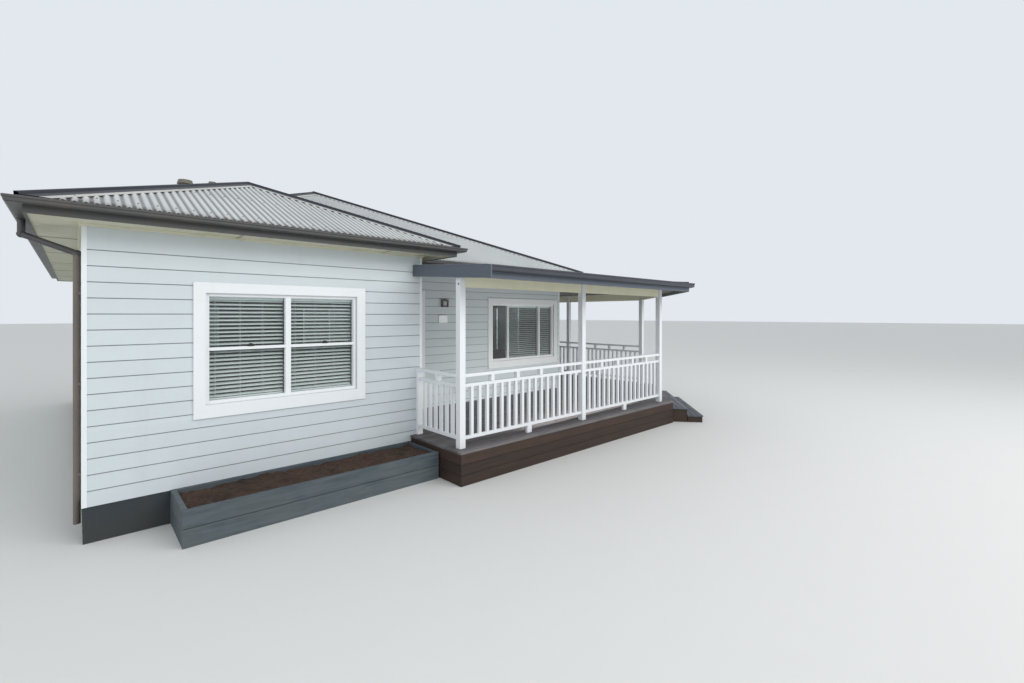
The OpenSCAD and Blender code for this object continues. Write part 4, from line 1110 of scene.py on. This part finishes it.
# The soil's surface is a level plus long waves plus smoothed noise.
SOIL_Z, LOW_SOIL, LAP = 0.317, 0.03, 0.002
su, sv = np.meshgrid(np.linspace(BED_L + BED_T - LAP, BED_R - BED_T + LAP, 190),
                     np.linspace(-BED_D + BED_T - LAP, -BED_T + LAP, 46))
rough = rng.normal(0, 1, su.shape)
for _ in range(2):
    rough = (rough + sum(np.roll(rough, by, axis) for axis in (0, 1) for by in (1, -1))) / 5
waves = 0.010 * np.sin(su * 5.1) * np.cos(sv * 7.0 + 1) + 0.006 * np.sin(su * 17 + sv * 13)
soil_top = np.stack([su, sv, SOIL_Z + waves + 0.022 * rough], -1)
soil_low = np.stack([su, sv, np.full_like(su, LOW_SOIL)], -1)
piece("soil_bed", slab(soil_top, soil_low), "soil", SOIL, smooth=70, replaces=["planter_soil"])


# Floor, light and camera

def area(name, at, aim, size, power, tint):
    """Soft lamp of a size that looks from one point at another."""
    lamp = bpy.data.lights.new(name, "AREA")
    lamp.shape, lamp.size, lamp.size_y = "RECTANGLE", size[0], size[1]
    lamp.energy, lamp.color = power, tint
    o = bpy.data.objects.new(name, lamp)
    bpy.context.scene.collection.objects.link(o)
    o.location = at
    d = np.array(aim, float) - np.array(at, float)
    yaw, tip = math.atan2(d[1], d[0]), math.atan2(d[2], math.hypot(d[0], d[1]))
    o.rotation_euler = (tip + math.pi / 2, 0, yaw - math.pi / 2)
    return o


FLOOR_R = 160
ground = bpy.data.meshes.new("studio_floor")
ground.from_pydata([(-FLOOR_R, -FLOOR_R, 0), (FLOOR_R, -FLOOR_R, 0), (FLOOR_R, FLOOR_R, 0),
                    (-FLOOR_R, FLOOR_R, 0)], [], [(0, 1, 2, 3)])
ground.materials.append(paint("studio_floor", (214, 214, 212), (205, 205, 202), 0.1, tone=0.01, gloss=0.7))
floor = bpy.data.objects.new("studio_floor", ground)
bpy.context.scene.collection.objects.link(floor)

lamps = [area("key_light", (4.0, -19.0, 11.0), (0.0, -2.0, 1.8), (14, 9), 1500, (1.0, 0.985, 0.96)),
         area("fill_light", (-16.0, -12.0, 7.0), (-1.0, -2.0, 1.5), (10, 8), 350, (0.97, 0.985, 1.0))]
under_roof = area("verandah_light", SHIFT + [6.6, -0.93, 0.75], SHIFT + [6.5, 1.58, 0.95], (3.2, 0.5), 34,
                  (1.0, 0.98, 0.94))
under_roof.visible_camera = under_roof.visible_glossy = under_roof.visible_transmission = False

# Camera, mirror and glass rays see a pale plain backdrop, and all other rays get the sky's light.
world = bpy.data.worlds.new("studio")
bpy.context.scene.world = world
world.use_nodes = True
tree = Tree(world.node_tree)
shown, lighting = tree.node("ShaderNodeBackground"), world.node_tree.nodes["Background"]
tree.put(shown.inputs["Color"], rgb(226, 232, 238))
tree.put(shown.inputs["Strength"], 1.0)
tree.put(lighting.inputs["Color"], (0.92, 0.965, 1.0, 1.0))
tree.put(lighting.inputs["Strength"], 0.84)
rays = tree.node("ShaderNodeLightPath").outputs
seen = tree.math("MAXIMUM", rays["Is Camera Ray"], rays["Is Glossy Ray"])
both = tree.node("ShaderNodeMixShader")
tree.put(both.inputs[0], tree.math("MAXIMUM", seen, rays["Is Transmission Ray"]))
tree.put(both.inputs[1], lighting.outputs[0])
tree.put(both.inputs[2], shown.outputs[0])
tree.put(world.node_tree.nodes["World Output"].inputs["Surface"], both.outputs[0])

SENSOR, FOCAL, SHIFT_Y, CAMERA_YAW = 36.0, 16.636, -0.02583, -42.738
lens = bpy.data.cameras.new("photo_camera")
lens.sensor_width, lens.lens, lens.shift_y, lens.clip_end = SENSOR, FOCAL, SHIFT_Y, 400.0
camera = bpy.data.objects.new("photo_camera", lens)
bpy.context.scene.collection.objects.link(camera)
camera.location = (-5.3575, -10.572, 2.196)
camera.rotation_euler = (math.radians(90), 0, math.radians(CAMERA_YAW))
bpy.context.scene.camera = camera
bpy.context.scene.view_settings.view_transform = "Standard"
